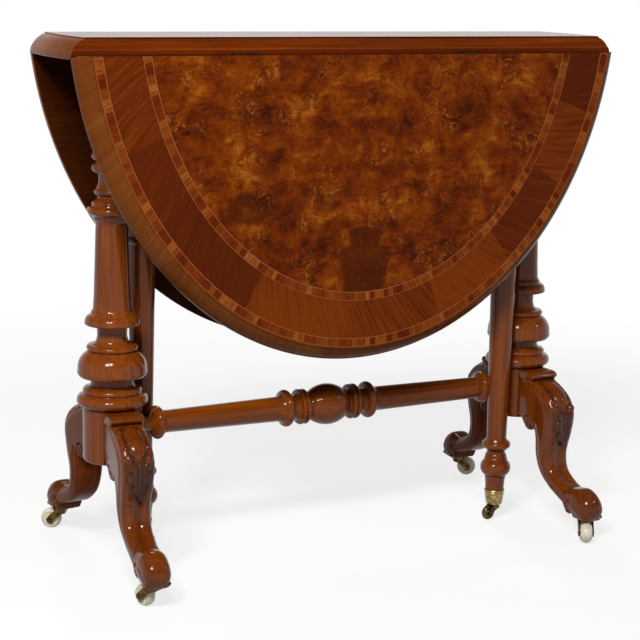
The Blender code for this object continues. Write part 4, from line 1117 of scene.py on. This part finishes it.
def castor(name, swivel, under, sizes, material, slot):
    """Fork with its crown and axle, and the wheel, modelled trailing along Y and turned into place."""
    radius, width, horn = sizes
    axle = middle_of(name + "_wheel")
    trail = math.hypot(axle[0] - swivel[0], axle[1] - swivel[1])
    heading = math.atan2(axle[1] - swivel[1], axle[0] - swivel[0])
    move = Matrix.Translation((*swivel, 0.0)) @ Matrix.Rotation(heading - math.pi / 2, 4, "Z")
    centre = (0.0, trail, radius)
    inside = width / 2 + CHEEK_GAP
    half = inside + CHEEK
    back = horn + 0.0006
    crown = under - HAIRLINE
    shape = [(-back, crown - CROWN_EDGE), (-back + CROWN_EDGE, crown), (back - CROWN_EDGE, crown),
             (back, crown - CROWN_EDGE)]
    shape += arc(shape[-1], (trail + horn, radius + 0.001), 0.0012)
    shape += arc(shape[-1], (trail - horn, radius - 0.001), horn)
    shape += arc(shape[-1], (-back, crown - CROWN_HEIGHT), -0.0016)
    fork = prism("fork", shape, -half, half)
    room = radius + CHEEK_GAP
    cut(fork, on_lathe("room", [(0.0, inside), (room, inside), (room, -inside), (0.0, -inside)],
                       centre, "X", 48))
    ease_edges(fork, FORK_EASE)
    shaft, knob, proud = AXLE
    end = half + proud
    pin = on_lathe("axle", profile(
        (0.0, end), (knob - 0.0002, end - 0.0010, 0.0003), (knob, half - 0.0004), (shaft, half - 0.0006),
        (shaft, 0.0006 - half), (knob, 0.0004 - half), (knob - 0.0002, 0.0010 - end), (0.0, -end, 0.0003)),
        centre, "X", 32)
    fork = joined(name + "_horned_fork", [fork, pin])
    side = width / 2
    rim = radius - width * 0.18
    half_wheel = [(0.0027, side), (radius * 0.40, side), (radius * 0.44, side - width * 0.07),
                  (radius * 0.66, side - width * 0.07), (radius * 0.72, side - width * 0.01),
                  (rim - width * 0.02, side - width * 0.09)]
    tread = arc((rim, side - width * 0.12), (rim, width * 0.12 - side), width * 0.18, 16)
    other_half = [(r, -z) for r, z in half_wheel[::-1]]
    outline = half_wheel + [(rim, side - width * 0.12)] + tread + other_half + half_wheel[:1]
    wheel = on_lathe(name + "_turned_wheel", outline, centre, "X", 64)
    for piece in (fork, wheel):
        piece.data.transform(move)
    settle(fork, DULL_BRASS, name + "_swivel", "aged_brass", name + "_fork")
    settle(wheel, material, name + "_wheel", slot, name + "_wheel")


CERAMIC = cream_ceramic()
for hand, _ in HANDS:
    for end, _ in ENDS:
        name = f"{hand}_{end}_castor"
        plate = name + "_plate"
        castor(name, middle_of(plate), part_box(plate)[0].z, CERAMIC_WHEEL, CERAMIC, "cream_ceramic")
        dress(DULL_BRASS, plate)
for end, side in ENDS:
    swivel = (-side * gate_x, -side * gate_y)
    castor(end + "_gate_castor", swivel, cup_low, BRASS_WHEEL, DULL_BRASS, "aged_brass")

# Hinges and screws
# Brass butt hinges are let into the undersides and screwed; the castor plates are screwed
# to the toes. The screws are slotted, with flat heads just proud of the brass.
SCREW_RADIUS = 0.0024
SCREW_RISE = 0.0004
SCREW_SINK = 0.0010
SCREW_SLOT = 0.0006
HINGE_SCREW_X = 0.013
HINGE_SCREW_IN = 0.0140
PLATE_SCREW = 0.0088
screw = on_lathe("screw", profile(
    (0.0, SCREW_RISE), (SCREW_RADIUS, 0.0, 0.0002), (SCREW_RADIUS * 0.6, -SCREW_SINK), (0.0, -SCREW_SINK)),
    (0.0, 0.0, 0.0), steps=24)
slot_half = SCREW_SLOT / 2
slot_section = [(-slot_half, -0.0004), (slot_half, -0.0004), (slot_half, 0.002), (-slot_half, 0.002)]
cut(screw, prism("slot", slot_section, -SCREW_RADIUS * 2, SCREW_RADIUS * 2))


def screwed(name, body, places):
    """Screws at places given as matrices, kept as one piece."""
    heads = [copy_of(screw, f"{name}_{k}", place) for k, place in enumerate(places)]
    settle(joined(name, heads), DULL_BRASS, body, "aged_brass")


def screw_at(x, y, z, facing_to, turn):
    """Place of a screw whose head looks along one axis and whose slot is turned."""
    aim = Vector(facing_to).to_track_quat("Z", "Y").to_matrix().to_4x4()
    return Matrix.Translation((x, y, z)) @ aim @ Matrix.Rotation(math.radians(turn), 4, "Z")


for number, hinge in enumerate(hinges):
    end = hinge.split("_")[0]
    side = dict(ENDS)[end]
    middle = middle_of(hinge + "_board_flap")[0]
    dress(DULL_BRASS, hinge + "_board_flap", hinge + "_leaf_flap")
    flap_y = side * (LEAF_HINGE_Y - HINGE_SCREW_IN)
    back_y = side * (LEAF_HINGE_Y - CHAMFER)
    on_board, on_leaf = [], []
    for step in (-1, 1):
        x = middle + step * HINGE_SCREW_X
        on_board.append(screw_at(x, flap_y, underside, (0, 0, -1), 40 + 67 * number + 31 * step))
        on_leaf.append(screw_at(x, back_y, pin_z - HINGE_SCREW_IN, (0, -side, 0),
                                15 + 43 * number + 52 * step))
    screwed(hinge + "_board_screws", "frame", on_board)
    screwed(hinge + "_leaf_screws", end + "_leaf", on_leaf)
for hand, x in HANDS:
    for end, side in ENDS:
        plate = f"{hand}_{end}_castor_plate"
        plate_x, plate_y = middle_of(plate)
        turned = Matrix.Rotation(facing(x, side), 3, "Z")
        corners = [turned @ Vector((a * PLATE_SCREW, b * PLATE_SCREW, 0.0)) for a in (-1, 1) for b in (-1, 1)]
        screwed(f"{hand}_{end}_plate_screws", "frame",
                [screw_at(plate_x + corner.x, plate_y + corner.y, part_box(plate)[0].z, (0, 0, -1), 25 + 70 * k)
                 for k, corner in enumerate(corners)])
bpy.data.objects.remove(screw, do_unlink=True)
